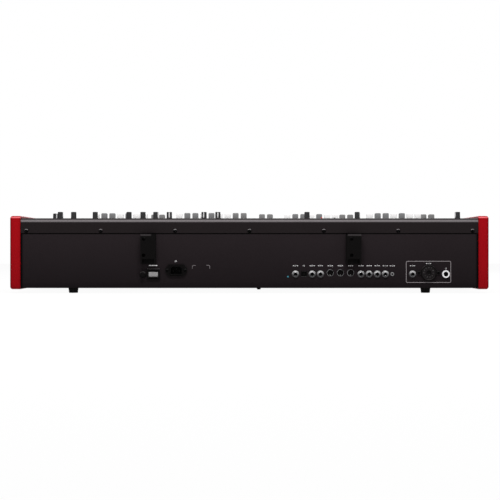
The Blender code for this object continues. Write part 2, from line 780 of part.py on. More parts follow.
def build_drawbar_group(panel, group):
    """Neighbouring drawbars on one rail under the panel, sliding toward the player."""
    set_name, tag, first, count, pulled = group
    depth = BAR_PUSHED + BAR_TRAVEL * pulled / BAR_STEPS
    start = SET_STARTS[set_name] + first * BAR_PITCH
    half = CAP_DEPTH / 2
    top = CAP_CLEAR + CAP_HEIGHT
    profile = [(-half, CAP_CLEAR), (half, CAP_CLEAR), (half, top - CAP_ROUND),
               (half - CAP_ROUND, top), (-half + CAP_SLANT, top), (-half, top - CAP_SLANT)]
    bm = bmesh.new()
    for i in range(count):
        x = start + i * BAR_PITCH
        prism_x(bm, [(y - depth, z) for y, z in profile], x - CAP_WIDTH / 2, x + CAP_WIDTH / 2)
        box(bm, (x - STEM_WIDTH / 2, x + STEM_WIDTH / 2),
            (-depth - STEM_DEPTH / 2, -depth + STEM_DEPTH / 2),
            (PANEL_UNDER - RAIL_HEIGHT / 2, CAP_CLEAR + CAP_HEIGHT / 2))
    name = f"{set_name}_{tag}_drawbars"
    bars = add_object(name, bm, drawbar_paint(first), (start, -depth, 0), panel)
    rail = bmesh.new()
    box(rail, (start - STEM_WIDTH, start + (count - 1) * BAR_PITCH + STEM_WIDTH),
        (-depth - STEM_DEPTH, -depth + STEM_DEPTH), (PANEL_UNDER - RAIL_HEIGHT, PANEL_UNDER))
    add_helper(bars, rail, 'UNION', "_rail")


def build_knob(panel, index, x, depth):
    """Tapered knob with its shaft down through the panel to the control below."""
    bm = bmesh.new()
    cone_z(bm, (x, -depth), (KNOB_RADIUS, KNOB_TOP_RADIUS), KNOB_CLEAR,
           KNOB_CLEAR + KNOB_HEIGHT, 16)
    knob = add_object(f"knob_{index:02d}", bm, black_plastic(), (x, -depth, 0), panel, True)
    shaft = bmesh.new()
    cone_z(shaft, (x, -depth), (SHAFT_RADIUS, SHAFT_RADIUS),
           DRAWBAR_BOARD_TOP + POT_HEIGHT + GAP, KNOB_CLEAR + KNOB_HEIGHT / 2, 12)
    add_helper(knob, shaft, 'UNION', "_shaft")


def build_button_strip(panel, name, places):
    """Rubber mat under the panel with its buttons standing through the panel."""
    bm = bmesh.new()
    half = BUTTON_SIZE / 2
    for x, depth in places:
        box(bm, (x - half, x + half), (-depth - half, -depth + half),
            (PANEL_UNDER - MAT_THICK / 2, BUTTON_RISE))
    strip = add_object(name, bm, rubber(), (places[0][0], -places[0][1], 0), panel)
    mat = bmesh.new()
    edge = half + MAT_EDGE
    box(mat, (min(x for x, _ in places) - edge, max(x for x, _ in places) + edge),
        (-max(d for _, d in places) - edge, -min(d for _, d in places) + edge),
        (PANEL_UNDER - MAT_THICK, PANEL_UNDER))
    add_helper(strip, mat, 'UNION', "_mat")


def build_drawbar_board(panel):
    """Board under the panel: posts up to the cover and one control under each knob."""
    bm = bmesh.new()
    top = DRAWBAR_BOARD_TOP
    half = POT_SIZE / 2
    for x, depth in knob_places():
        box(bm, (x - half, x + half), (-depth - half, -depth + half),
            (top - BOARD / 2, top + POT_HEIGHT))
    for x in POST_PLACES:
        for depth in POST_DEPTHS:
            box(bm, (x - POST_HALF, x + POST_HALF), (-depth - POST_HALF, -depth + POST_HALF),
                (top - BOARD / 2, PANEL_UNDER))
    board = add_object("drawbar_board", bm, board_green(), (0, 0, 0), panel)
    sheet = bmesh.new()
    box(sheet, (-BOARD_HALF, BOARD_HALF), (-BOARD_FRONT, -BOARD_REAR), (top - BOARD, top))
    add_helper(board, sheet, 'UNION', "_sheet")


def add_jack(bodies, bores, x):
    """Add one large jack: body behind the wall, threaded bush through it and a nut outside."""
    half = JACK_BODY / 2
    centre = (x, JACK_HEIGHT)
    front = REAR + GAP + JACK_NUT_THICK
    box(bodies, (x - half, x + half), (SOCKET_BOARD_Y - BOARD / 2, WALL_IN - GAP),
        (JACK_HEIGHT - half, JACK_HEIGHT + half))
    rod_y(bodies, centre, JACK_BUSH, WALL_IN - SHEET, front + JACK_LEAD)
    rod_y(bodies, centre, JACK_NUT, REAR + GAP, front)
    rod_y(bores, centre, JACK_BORE, front + JACK_LEAD - JACK_DEPTH, front + 2 * JACK_LEAD, 8)


def add_din(bodies, bores, x):
    """Add one round five-pin socket with its face in a hole of the wall."""
    half = DIN_BODY / 2
    box(bodies, (x - half, x + half), (SOCKET_BOARD_Y - BOARD / 2, WALL_IN - GAP),
        (DIN_HEIGHT - half, DIN_HEIGHT + half))
    rod_y(bodies, (x, DIN_HEIGHT), DIN_RADIUS, WALL_IN - SHEET, REAR + GAP)
    rod_y(bores, (x, DIN_HEIGHT), DIN_BORE, REAR - DIN_DEPTH, REAR + SHEET)


def add_usb(bodies, bores):
    """Add the square computer socket."""
    half_x = USB_WIDTH / 2
    half_z = USB_HEIGHT / 2
    box(bodies, (USB_PLACE - half_x, USB_PLACE + half_x),
        (SOCKET_BOARD_Y - BOARD / 2, REAR + GAP), (JACK_HEIGHT - half_z, JACK_HEIGHT + half_z))
    w = USB_WALL
    box(bores, (USB_PLACE - half_x + w, USB_PLACE + half_x - w), (REAR - USB_DEPTH, REAR + SHEET),
        (JACK_HEIGHT - half_z + w, JACK_HEIGHT + half_z - w))


def add_mini(bodies, bores):
    """Add the small round jack."""
    centre = (MINI_PLACE, MINI_HEIGHT)
    half = MINI_BODY / 2
    box(bodies, (MINI_PLACE - half, MINI_PLACE + half), (SOCKET_BOARD_Y - BOARD / 2, WALL_IN - GAP),
        (MINI_HEIGHT - half, MINI_HEIGHT + half))
    rod_y(bodies, centre, MINI_RADIUS, WALL_IN - SHEET, REAR + GAP)
    rod_y(bores, centre, MINI_BORE, REAR - USB_DEPTH, REAR + SHEET, 10)


def build_socket_board(name, board_height):
    """Sockets soldered to one upright board; board_height is its (low, high) pair."""
    bodies = bmesh.new()
    bores = bmesh.new()
    places = list(JACK_PLACES[name])
    for x in places:
        add_jack(bodies, bores, x)
    if name == "phones_board":
        add_usb(bodies, bores)
        places.append(USB_PLACE)
    if name == "pedal_midi_board":
        for x in DIN_PLACES:
            add_din(bodies, bores, x)
            places.append(x)
    if name == "output_board":
        add_mini(bodies, bores)
        places.append(MINI_PLACE)
    made = add_object(name, bodies, black_plastic())
    sheet = bmesh.new()
    box(sheet, (min(places) - BOARD_MARGIN, max(places) + BOARD_MARGIN),
        (SOCKET_BOARD_Y - BOARD, SOCKET_BOARD_Y), board_height)
    add_helper(made, sheet, 'UNION', "_sheet")
    add_helper(made, bores, 'DIFFERENCE', "_bores")


def build_speaker_socket():
    """Round many-pin socket with two ears, its barrel through the wall."""
    centre = (SPEAKER_PLACE, SPEAKER_HEIGHT)
    bm = bmesh.new()
    rod_y(bm, centre, SPEAKER_RADIUS, REAR + GAP, REAR + GAP + SPEAKER_FACE, 24)
    rod_y(bm, centre, SPEAKER_BARREL, REAR - SPEAKER_BARREL_DEPTH, REAR + SPEAKER_FACE / 2, 24)
    socket = add_object("rotary_speaker_socket", bm, black_plastic(), smooth=True)
    reach = SPEAKER_EARS + EAR_RADIUS
    ears = bmesh.new()
    box(ears, (centre[0] - reach, centre[0] + reach), (REAR + GAP, REAR + GAP + SPEAKER_FACE / 2),
        (centre[1] - EAR_RADIUS, centre[1] + EAR_RADIUS))
    add_helper(socket, ears, 'UNION', "_ears")
    bore = bmesh.new()
    rod_y(bore, centre, SPEAKER_BORE, REAR - SPEAKER_BORE_DEPTH, REAR + 2 * SPEAKER_FACE, 12)
    add_helper(socket, bore, 'DIFFERENCE', "_bore")


def build_mains_inlet():
    """Three-pin mains inlet: eared flange outside, body through the wall, keyed cavity."""
    x, z = INLET_CENTRE
    half_x = INLET_BODY_WIDTH / 2
    half_z = INLET_BODY_HEIGHT / 2
    bm = bmesh.new()
    box(bm, (x - half_x, x + half_x), (REAR - INLET_BODY_DEPTH, REAR + INLET_FLANGE / 2),
        (z - half_z, z + half_z))
    wide = INLET_WIDTH / 2
    tall = INLET_HEIGHT / 2
    ear = INLET_EAR + EAR_RADIUS
    prism_y(bm, [(x - wide, z - tall), (x + wide, z - tall), (x + ear, z - EAR_RADIUS),
                 (x + ear, z + EAR_RADIUS), (x + wide, z + tall), (x - wide, z + tall),
                 (x - ear, z + EAR_RADIUS), (x - ear, z - EAR_RADIUS)],
            REAR + GAP, REAR + GAP + INLET_FLANGE)
    inlet = add_object("mains_inlet", bm, black_plastic())
    rim = bmesh.new()
    box(rim, (x - half_x - GAP, x + half_x + GAP),
        (REAR + INLET_FLANGE / 2, REAR + INLET_FLANGE + INLET_RIM),
        (z - half_z - GAP, z + half_z + GAP))
    add_helper(inlet, rim, 'UNION', "_rim")
    cavity_x = INLET_CAVITY_WIDTH / 2
    cavity_z = INLET_CAVITY_HEIGHT / 2
    key = INLET_KEY
    floor = REAR + INLET_FLANGE - INLET_CAVITY_DEPTH
    cavity = bmesh.new()
    prism_y(cavity, [(x - cavity_x, z - cavity_z), (x + cavity_x, z - cavity_z),
                     (x + cavity_x, z + cavity_z - key), (x + cavity_x - key, z + cavity_z),
                     (x - cavity_x + key, z + cavity_z), (x - cavity_x, z + cavity_z - key)],
            floor, REAR + INLET_FLANGE + 2 * INLET_RIM)
    add_helper(inlet, cavity, 'DIFFERENCE', "_cavity")
    pins = bmesh.new()
    for pin_x, pin_z in ((0, PIN_EARTH_RISE), (-PIN_SPREAD, -PIN_LIVE_DROP),
                         (PIN_SPREAD, -PIN_LIVE_DROP)):
        box(pins, (x + pin_x - PIN_WIDTH / 2, x + pin_x + PIN_WIDTH / 2),
            (floor - SHEET / 2, REAR), (z + pin_z - PIN_TALL / 2, z + pin_z + PIN_TALL / 2))
    add_helper(inlet, pins, 'UNION', "_pins")


def build_fuse_holder():
    """Round fuse cap outside the wall with its barrel through it."""
    bm = bmesh.new()
    rod_y(bm, FUSE_CENTRE, FUSE_RADIUS, REAR + GAP, REAR + GAP + FUSE_CAP)
    holder = add_object("fuse_holder", bm, black_plastic(), smooth=True)
    barrel = bmesh.new()
    rod_y(barrel, FUSE_CENTRE, FUSE_BARREL, REAR - FUSE_DEPTH, REAR + FUSE_CAP / 2)
    add_helper(holder, barrel, 'UNION', "_barrel")


def build_power_switch():
    """Switch housing with its bezel outside the wall, and the rocker on its pivot line."""
    x, z = SWITCH_CENTRE
    bm = bmesh.new()
    box(bm, (x - SWITCH_WIDTH / 2, x + SWITCH_WIDTH / 2), (REAR + GAP, REAR + GAP + SWITCH_BEZEL),
        (z - SWITCH_HEIGHT / 2, z + SWITCH_HEIGHT / 2))
    housing = add_object("power_switch_housing", bm, black_plastic())
    body = bmesh.new()
    box(body, (x - SWITCH_BODY_WIDTH / 2, x + SWITCH_BODY_WIDTH / 2),
        (REAR - SWITCH_DEPTH, REAR + SWITCH_BEZEL / 2),
        (z - SWITCH_BODY_HEIGHT / 2, z + SWITCH_BODY_HEIGHT / 2))
    add_helper(housing, body, 'UNION', "_body")
    half_x = SWITCH_BODY_WIDTH / 2 - SWITCH_WALL
    half_z = SWITCH_BODY_HEIGHT / 2 - SWITCH_WALL
    well = bmesh.new()
    box(well, (x - half_x, x + half_x), (REAR - SWITCH_WELL, REAR + 2 * SWITCH_BEZEL),
        (z - half_z, z + half_z))
    add_helper(housing, well, 'DIFFERENCE', "_well")
    pivot = REAR - ROCKER_PIVOT
    tip = half_z - ROCKER_TIP_CLEAR
    outline = [(ROCKER_PIVOT + GAP, 0), (ROCKER_PIVOT + ROCKER_LIFT, tip),
               (ROCKER_PIVOT - ROCKER_LIFT, tip), (-ROCKER_BACK, tip / 2),
               (-ROCKER_BACK, -tip / 2), (ROCKER_PIVOT - ROCKER_LIFT, -tip),
               (ROCKER_PIVOT + ROCKER_LIFT, -tip)]
    tilt = ROCKER_TRAVEL / 2
    turned = [(pivot + a * math.cos(tilt) - b * math.sin(tilt),
               z + a * math.sin(tilt) + b * math.cos(tilt)) for a, b in outline]
    bm = bmesh.new()
    prism_x(bm, turned, x - half_x + GAP, x + half_x - GAP)
    add_object("power_switch_rocker", bm, black_plastic(), (x, pivot, z))


def build_bracket(side, x):
    """Upright pocket for one leg of a music stand, open at the top and bottom.

    The outer wall is notched at the foot and has a hole in front of each fixing screw.
    """
    low = BRACKET_TOP - BRACKET_HEIGHT
    half = BRACKET_WIDTH / 2
    rear = REAR + BRACKET_STANDOFF
    w = BRACKET_WALL
    bm = bmesh.new()
    box(bm, (x - half, x + half), (REAR + GAP, rear), (low, BRACKET_TOP))
    bracket = add_object(f"{side}_stand_bracket", bm, black_steel())
    pocket = bmesh.new()
    box(pocket, (x - half + w, x + half - w), (REAR + GAP + w, rear - w),
        (low - w, BRACKET_TOP + w))
    add_helper(bracket, pocket, 'DIFFERENCE', "_pocket")
    outer_wall = (rear - 2 * w, rear + w)
    reach = BRACKET_NOTCH_WIDTH / 2
    access = bmesh.new()
    box(access, (x - reach, x + reach), outer_wall, (low - w, low + BRACKET_NOTCH_HEIGHT))
    for drop in BRACKET_SCREW_DROPS:
        rod_y(access, (x + BRACKET_SCREW_SIDES[side], BRACKET_TOP - drop), BRACKET_ACCESS_RADIUS,
              *outer_wall)
    add_helper(bracket, access, 'DIFFERENCE', "_access")


def build_feet():
    for name, x, inset in (("rear_left_foot", -REAR_FOOT_X, REAR_FOOT_INSET),
                           ("rear_right_foot", REAR_FOOT_X, REAR_FOOT_INSET),
                           ("front_left_foot", -FRONT_FOOT_X, FRONT_FOOT_INSET),
                           ("front_right_foot", FRONT_FOOT_X, FRONT_FOOT_INSET)):
        bm = bmesh.new()
        cone_z(bm, (x, REAR - inset), (FOOT_RADIUS - FOOT_TAPER, FOOT_RADIUS), 0.0,
               FOOT_HEIGHT - GAP, 20)
        add_object(name, bm, rubber(), (x, REAR - inset, 0.0), smooth=True)


def build_electronics():
    """Main board on posts and the screened power supply, on the floor tray."""
    low = FLOOR_TOP + GAP
    x0, x1 = MAIN_BOARD_X
    y0, y1 = MAIN_BOARD_Y
    bm = bmesh.new()
    for x in (x0 + POST_HALF, (x0 + x1) / 2, x1 - POST_HALF):
        for y in (y0 + POST_HALF, y1 - POST_HALF):
            box(bm, (x - POST_HALF, x + POST_HALF), (y - POST_HALF, y + POST_HALF),
                (low, low + MAIN_POST + BOARD / 2))
    for share_x, share_y, size in ((0.25, 0.35, 0.026), (0.55, 0.5, 0.020), (0.8, 0.3, 0.016)):
        x = x0 + (x1 - x0) * share_x
        y = y0 + (y1 - y0) * share_y
        box(bm, (x - size / 2, x + size / 2), (y - size / 2, y + size / 2),
            (low + MAIN_POST + BOARD / 2, low + MAIN_POST + BOARD + CHIP_THICK))
    board = add_object("main_board", bm, board_green())
    sheet = bmesh.new()
    box(sheet, (x0, x1), (y0, y1), (low + MAIN_POST, low + MAIN_POST + BOARD))
    add_helper(board, sheet, 'UNION', "_sheet")
    bm = bmesh.new()
    c = SUPPLY_CHAMFER
    x0, x1 = SUPPLY_X
    y0, y1 = SUPPLY_Y
    high = low + SUPPLY_HEIGHT
    prism_x(bm, [(y0, low), (y1, low), (y1, high - c), (y1 - c, high), (y0 + c, high),
                 (y0, high - c)], x0, x1)
    add_object("power_supply", bm, bare_steel())


def build_organ():
    clear_scene()
    build_base()
    for name, side in (("left_cheek", -1), ("right_cheek", 1)):
        build_cheek(name, side)
    for name, side in (("left_key_block", -1), ("right_key_block", 1)):
        build_key_block(name, side)
    build_slips()
    build_key_beds()
    build_contact_board("lower_contact_board", LOWER_FRONT, LOWER_DECK)
    build_contact_board("upper_contact_board", UPPER_FRONT, UPPER_DECK)
    build_manual("lower", LOWER_FRONT, LOWER_KEY_TOP)
    build_manual("upper", UPPER_FRONT, UPPER_KEY_TOP)
    panel = add_panel_frame()
    build_top_cover(panel)
    build_drawbar_board(panel)
    for group in DRAWBAR_GROUPS:
        build_drawbar_group(panel, group)
    for index, (x, depth) in enumerate(knob_places(), 1):
        build_knob(panel, index, x, depth)
    for name, places in BUTTON_GROUPS.items():
        build_button_strip(panel, name, places)
    for name in JACK_PLACES:
        build_socket_board(name, SOCKET_BOARD_HEIGHTS[name])
    build_speaker_socket()
    build_mains_inlet()
    build_fuse_holder()
    build_power_switch()
    for side, x in BRACKET_CENTRES.items():
        build_bracket(side, x)
    build_feet()
    build_electronics()


build_organ()
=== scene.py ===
"""Looks of the two-manual drawbar organ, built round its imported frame.

Units are metres, and millimetres in the profiles that turned_piece takes.
"""

import json
import math

import bmesh
import bpy
from mathutils import Matrix, Vector


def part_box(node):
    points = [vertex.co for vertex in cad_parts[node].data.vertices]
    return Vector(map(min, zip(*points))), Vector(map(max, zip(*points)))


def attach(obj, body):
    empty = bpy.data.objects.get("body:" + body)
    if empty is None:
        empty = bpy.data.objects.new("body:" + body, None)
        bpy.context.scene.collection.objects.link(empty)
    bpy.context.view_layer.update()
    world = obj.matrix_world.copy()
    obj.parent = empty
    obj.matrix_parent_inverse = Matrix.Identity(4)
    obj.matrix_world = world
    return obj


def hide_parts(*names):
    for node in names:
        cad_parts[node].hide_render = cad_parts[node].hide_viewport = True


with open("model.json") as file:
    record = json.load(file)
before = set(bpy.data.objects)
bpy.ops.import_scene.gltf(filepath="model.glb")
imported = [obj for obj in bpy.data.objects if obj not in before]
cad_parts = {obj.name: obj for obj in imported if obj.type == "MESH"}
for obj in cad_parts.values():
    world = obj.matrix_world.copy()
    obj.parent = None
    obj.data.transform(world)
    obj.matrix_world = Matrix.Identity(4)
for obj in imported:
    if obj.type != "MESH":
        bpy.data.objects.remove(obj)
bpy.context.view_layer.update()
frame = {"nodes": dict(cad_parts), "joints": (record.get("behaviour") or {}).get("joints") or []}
MM = 0.001

# Keys
NATURAL_PITCH = 0.0235
NATURAL_WIDTH = 0.0225
NATURALS = 36
OCTAVE = 7
NATURAL_COMBS = (("ceg", (0, 2, 4, 6)), ("dfa", (1, 3, 5)))
NATURAL_HEAD = 0.050
NATURAL_TAIL = 0.150
NATURAL_PLATE = 0.006
WATERFALL_HEIGHT = 0.020
WATERFALL_THICK = 0.004
WATERFALL_ROUND = 0.0028
SHARP_WIDTH = 0.011
SHARP_LENGTH = 0.085
SHARP_HEIGHT = 0.012
SHARP_SLOT = 0.0012
SHARP_OFFSETS = {0: -0.0025, 1: 0.0025, 3: -0.0035, 4: 0.0, 5: 0.0035}
SHARP_TAPER = 0.84
HINGE_DROP = 0.010
KEY_EDGE = 0.0005
SHARP_EDGE = 0.0009
KEY_RISER = 0.008
ARM_LAP = 1.5 * KEY_RISER
ARM_THICK = 0.0032
ARM_WIDTH = 0.0066
ARM_CLEAR = 0.0004
SPINE_DEPTH = 0.005
SPINE_RISE = 0.005
SPINE_THICK = 0.003
SPINE_STEP = 0.008
SPINE_END = 0.004
SPINE_LAP = 0.0004
TOUCH = 1e-5

# Panel, drawbars, knobs and buttons
PANEL_SLOPE = math.radians(2.0)
PANEL_SHEET = 0.002
BAR_PITCH = 0.01825
BAR_PUSHED = 0.090
BAR_TRAVEL = 0.058
BAR_GROUPS = (("brown", 0, 2), ("other", 2, 9))
BAR_NOTCHES = 8
SLOT_MARGIN = 0.005
CAP_WIDTH = 0.0133
CAP_HEIGHT = 0.0160
CAP_CLEAR = 0.0005
CAP_DEPTH = 0.011
CAP_RIDGES = 3
CAP_RIDGE_START = 0.0034
CAP_RIDGE_PITCH = 0.0018
CAP_RIDGE = 0.0005
CAP_CORNER = 0.0024
CAP_CROWN = 0.0012
CAP_CHAMFER = (0.0015, 0.0022)
CAP_ORDER = ("brown", "brown", "white", "white", "black", "white", "black", "black", "white")
SET_STARTS = {"bass": -0.0472, "upper_a": -0.419, "upper_b": -0.233,
              "lower_a": 0.013, "lower_b": 0.202}
STEM_HALF = (0.0015, 0.002)
STEM_LAP = 0.004
STEM_FOOT = 0.003
RAIL_LOW = -0.0097
RAIL_HIGH = -0.0023
RAIL_HALF = 0.004
RAIL_END = 0.003
KNOB_ROW = 0.030
KNOB_XS = (-0.4623, -0.2398, -0.1280, 0.0700, 0.1009, 0.1780, 0.2080,
           0.2365, 0.2676, 0.3425, 0.3905, 0.4200)
KNOB_TURNS = (-62, 60, 175, 0, -6, 2, 58, 140, 178, 84, 160, 86, 30)
KNOB_RADIUS = 0.0063
KNOB_TOP_RADIUS = 0.0059
KNOB_LOW = 0.0005
KNOB_TOP = 0.0151
KNOB_GROOVE = 0.955
SHAFT_RADIUS = 0.003
SHAFT_LOW = -0.0040
POINTER_HALF = 0.0013
BUTTON_HALF = 0.004
BUTTON_RISE = 0.0015
BUTTON_PLACES = {
    "function_buttons": [(x, d) for d in (0.060, 0.078) for x in (0.362, 0.382, 0.402)],
    "centre_buttons": [(-0.008, d) for d in (0.050, 0.070, 0.090, 0.110)],
}
KEYCAP_FOOT = 0.0004
WINDOW = (Vector((-0.0018, 0.0016, -0.0005)), Vector((0.0018, 0.0026, 0.00006)))
MAT_LOW = -PANEL_SHEET - 0.0018
MAT_THICK = 0.0015
MAT_EDGE = 0.003
LAMP_PLACE = (-0.1597, -0.016, 0)
SMALL_KEY = ((-0.1902, -0.0190, -0.0004), (-0.1858, -0.0150, 0.0016))

# Print
PRINT_THICK = 0.00006
PRINT_LIFT = 0.00002
CAPITAL_SHARE = 0.70
NUMBER_HEIGHT = 0.0028
HAIRLINE_HALF = 0.00018
SET_FRAME_GAP = (0.001, 0.0012)
BAR_MARK_HALF = (0.0022, 0.0014)
BAR_NUMBER_GAP = 0.0052
KNOB_TICK = (0.0074, 0.0092)
KNOB_NUMBER_GAP = 0.0125
BUTTON_FRAME_HALF = (0.0056, 0.0056)
SOCKET_PRINT_Z = 0.0603
SPEAKER_PRINT_Z = 0.0652
WHITE_JACK_PRINT_Z = 0.0540
NUMBER_HALF = 0.0031
DASH_LENGTH = 0.0025
DASH_HALF = 0.0007
INLET_NUMBER = (0.1622, 0.0702)
SWITCH_MARK = ((0.2028, 0.0601), (0.2210, 0.0619))
LABEL_CORNERS = (0.0872, 0.1256)
LABEL_TOP = 0.0613
LABEL_LINE = 0.0007
LABEL_ROUND = 0.0030
LABEL_ARM = 0.0044
SPEAKER_FRAME = (-0.4434, -0.3444, 0.0231, 0.0708)
FRAME_ROUND = 0.0032
FRAME_LINE = 0.0011

# Rear wall
JACK_Z = 0.042
JACK_BODY_HALF = 0.0075
JACK_BODY_DEPTH = 0.020
WHITE_JACK_X = -0.4320
DIN_XS = (-0.1779, -0.2001, -0.2226)
DIN_Z = 0.0449
DIN_FLOOR = -0.0028
DIN_PIN_RING = 0.0039
DIN_KEY_Y = 0.0050
PORT_X = -0.1201
MINI_X = -0.3143
SPEAKER = (-0.3941, 0.0451)
SPEAKER_EAR = 0.0215
SPEAKER_PIN_RING = 0.0105
SPEAKER_PINS = 11
SPEAKER_PIN_FOOT = 0.0033
BOARD_THICK = 0.0016
BOARD_CLEAR = 0.0003
SOCKET_BOARDS = {
    "phones_board": ((-0.1014,), 0.030, 0.058, [(PORT_X, JACK_Z, 0.0052)]),
    "pedal_midi_board": ((-0.1381, -0.1562), 0.030, 0.060, [(x, DIN_Z, 0.0095) for x in DIN_XS]),
    "output_board": ((-0.2455, -0.2633, -0.2811, -0.2989), 0.030, 0.058,
                     [(MINI_X, JACK_Z, 0.0045)]),
    "speaker_board": ((-0.3587, WHITE_JACK_X), 0.016, 0.058, []),
}
SOCKET_XS = (-0.1014, PORT_X, -0.1381, -0.1562, *DIN_XS, -0.2455, -0.2633, -0.2811, -0.2989,
             MINI_X, -0.3587, SPEAKER[0], WHITE_JACK_X)
PORT_HALF = (0.00625, 0.0055)
PORT_CHAMFER = 0.0022
PORT_WALL = 0.0006
PORT_DEPTHS = (-0.010, 0.0003)
PORT_TONGUE = (0.0030, 0.0019)
PORT_LIGHT = (-0.0848, 0.0362)
INLET = (0.1608, 0.0504)
INLET_EAR = 0.020
INLET_PINS = ((0, 0.0028), (-0.007, -0.0016), (0.007, -0.0016))
INLET_PIN_HALF = (0.0011, 0.0021)
INLET_PIN_DEPTHS = (-0.0125, -0.0040)
FUSE = (0.2342, 0.0409)
SWITCH = (0.2113, 0.0416)
SWITCH_FACE_HALF = (0.0100, 0.0050)
SWITCH_FACE_THICK = 0.0030
BEZEL_HALF = 0.0140
SCREW_HEAD = 0.0040
SCREW_TURN = Matrix.Rotation(math.radians(24), 4, 'Z')
NUT_TURN = Matrix.Rotation(math.radians(11), 4, 'Z')
FUSE_SLOT_TURN = Matrix.Rotation(0.5, 4, 'Z')
FUSE_GRIP = (0.0058, 0.0060)
HEX_FROM = 0.0056
HEX_POINTS = 48
COVER_SCREW_Z = 0.137
COVER_SCREW_XS = [i * 0.1636 for i in range(-3, 4)]
BRACKET_SCREWS = ((0.2314, 0.1194), (0.2314, 0.0834), (-0.2239, 0.1194), (-0.2239, 0.0834))
BRACKET_BACK = 0.0023
# Dark pad in each stand pocket, a painted shadow at the pocket's foot.
POCKET_SHADE_HALF = 0.0125
POCKET_SHADE_HEIGHT = 0.0125
TRIM_THICK = 0.0004
# Dark strip in the rear flange's seam, a painted shadow in the gap.
SEAM_LOW = 0.1297
SEAM_HIGH = 0.1318
SEAM_DEPTH = 0.0019

# Underside
FLOOR_SCREW_XS = (-0.46, -0.31, -0.155, 0.0, 0.155, 0.31, 0.46)
FLOOR_SCREW_YS = (-0.190, -0.030, 0.135)
FEET = ("rear_left_foot", "rear_right_foot", "front_left_foot", "front_right_foot")
STUD_X = -0.022
STUD_INSET = 0.200

# End cheeks
CHEEK_ROUND = 0.0055
CHEEK_INNER_ROUND = 0.0012
CHEEK_CORNER = 0.0065
CHEEK_FLAT = 0.225
CHEEK_NOSE_ROUND = 0.022
SHOULDER_HEIGHT = 0.150
SHOULDER_LEAD = 0.004
SHOULDER_RUN = 0.030
ARM_HEIGHT = 0.098
NOSE_HEIGHT = 0.090

# Heights, and squared distances from the middle, between which painted shade and painted highlights
# fade in
CHEEK_SHADE = (0.11, 0.02)
WALL_SHADE = (0.115, 0.03)
WALL_BEND_SHADE = (0.026, 0.013)
FLANGE_SEAM_SHADE = (0.1326, 0.1322)
JACK_HIGHLIGHT = (JACK_Z - 0.0015, JACK_Z + 0.0045)
PORT_LIP_SHADOW = (JACK_Z - 0.0052, JACK_Z - 0.0047)
BRACKET_HIGHLIGHT_BAND = (0.1254, 0.1264)
BRACKET_HIGHLIGHT_END = (0.2140 ** 2, 0.2170 ** 2)
CHEEK_SHADOW_BAND = (0.4965 ** 2, 0.5020 ** 2)

# Finish
NOISE_SPAN = (0.3, 0.7)
MATT = 0.02
ALONG_X = (0.03, 1, 1)
ACROSS_Y = (1, 6, 1)
BROAD_FACE = 8

# Camera and light; a lamp has a name, place, aim, size and power
CAMERA_X = -0.0013
CAMERA_DISTANCE = 2.85
CAMERA_HEIGHT = 0.095
CAMERA_ANGLE = 21.84
AMBIENT = 0.22
FLOOR_GLOW = 0.95
FLOOR_HALF = 6.0
FLOOR_DROP = 0.0002
LAMPS = (
    ("right_box", (0.4, 1.3, 2.3), (0.1, 0.15, 0.08), (0.5, 0.4), 42.0),
    ("left_box", (-0.4, 1.3, 2.3), (-0.1, 0.15, 0.08), (0.5, 0.4), 42.0),
    ("top_box", (0.0, -0.3, 2.2), (0.0, -0.05, 0.1), (1.8, 0.8), 16.0),
    ("front_box", (-0.4, -2.4, 1.3), (0.0, -0.1, 0.08), (1.8, 1.0), 22.0),
)

JOINTS = {joint["name"]: joint for joint in frame["joints"]}
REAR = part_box("base_chassis")[1][1]
PANEL = (Matrix.Translation((0, *JOINTS["knob_01_turn"]["pos_m"][1:]))
         @ Matrix.Rotation(PANEL_SLOPE, 4, 'X') @ Matrix.Translation((0, KNOB_ROW, 0)))


# Shapes

def add_box(bm, low, high):
    low, high = Vector(low), Vector(high)
    made = bmesh.ops.create_cube(bm, size=1.0)
    bmesh.ops.scale(bm, vec=high - low, verts=made["verts"])
    bmesh.ops.translate(bm, vec=(low + high) / 2, verts=made["verts"])
    return made["verts"]


def arc(centre, radius, start, end, steps):
    """Points along an arc, angles in degrees."""
    turns = [math.radians(start + (end - start) * i / steps) for i in range(steps + 1)]
    return [(centre[0] + radius * math.cos(t), centre[1] + radius * math.sin(t)) for t in turns]


def ease(start, end, steps):
    """Points along an S-shaped fall."""
    return [(start[0] + (end[0] - start[0]) * t, start[1] + (end[1] - start[1]) * t * t * (3 - 2 * t))
            for t in (i / steps for i in range(steps + 1))]


def skin(bm, near, far):
    """Join two closed rows of points by a band of faces."""
    for i in range(len(near)):
        j = (i + 1) % len(near)
        bm.faces.new((near[i], near[j], far[j], far[i]))


def add_lofted(bm, rings):
    """Skin equal rings of 3-D points into one closed body with flat ends."""
    made = [[bm.verts.new(point) for point in ring] for ring in rings]
    for near, far in zip(made, made[1:]):
        skin(bm, near, far)
    bm.faces.new(made[0])
    bm.faces.new(made[-1])
    return sum(made, [])


def add_prism(bm, x, width, outline):
    """Add a closed prism from a side view of (y, z) points."""
    return add_lofted(bm, [[(side, y, z) for y, z in outline] for side in (x, x + width)])


def add_turned(bm, profile, place, sides=40, wave=None):
    """Revolve (radius, height) points about the local Z axis, then move them by a matrix.

    A profile that starts or ends at radius 0 is closed there with a fan of faces.
    wave(i, radius) may return a factor for one point's radius, for ribs and flats.
    """
    rings = []
    for radius, height in profile:
        ring = []
        for i in range(sides if radius > 0 else 1):
            angle = 2 * math.pi * i / sides
            r = radius * (wave(i, radius) if wave else 1.0)
            point = Vector((r * math.cos(angle), r * math.sin(angle), height))
            ring.append(bm.verts.new(place @ point))
        rings.append(ring)
    for low, high in zip(rings, rings[1:]):
        if len(low) == len(high):
            skin(bm, low, high)
            continue
        tip, ring = sorted((low, high), key=len)
        for i in range(sides):
            bm.faces.new((tip[0], ring[i], ring[(i + 1) % sides]))


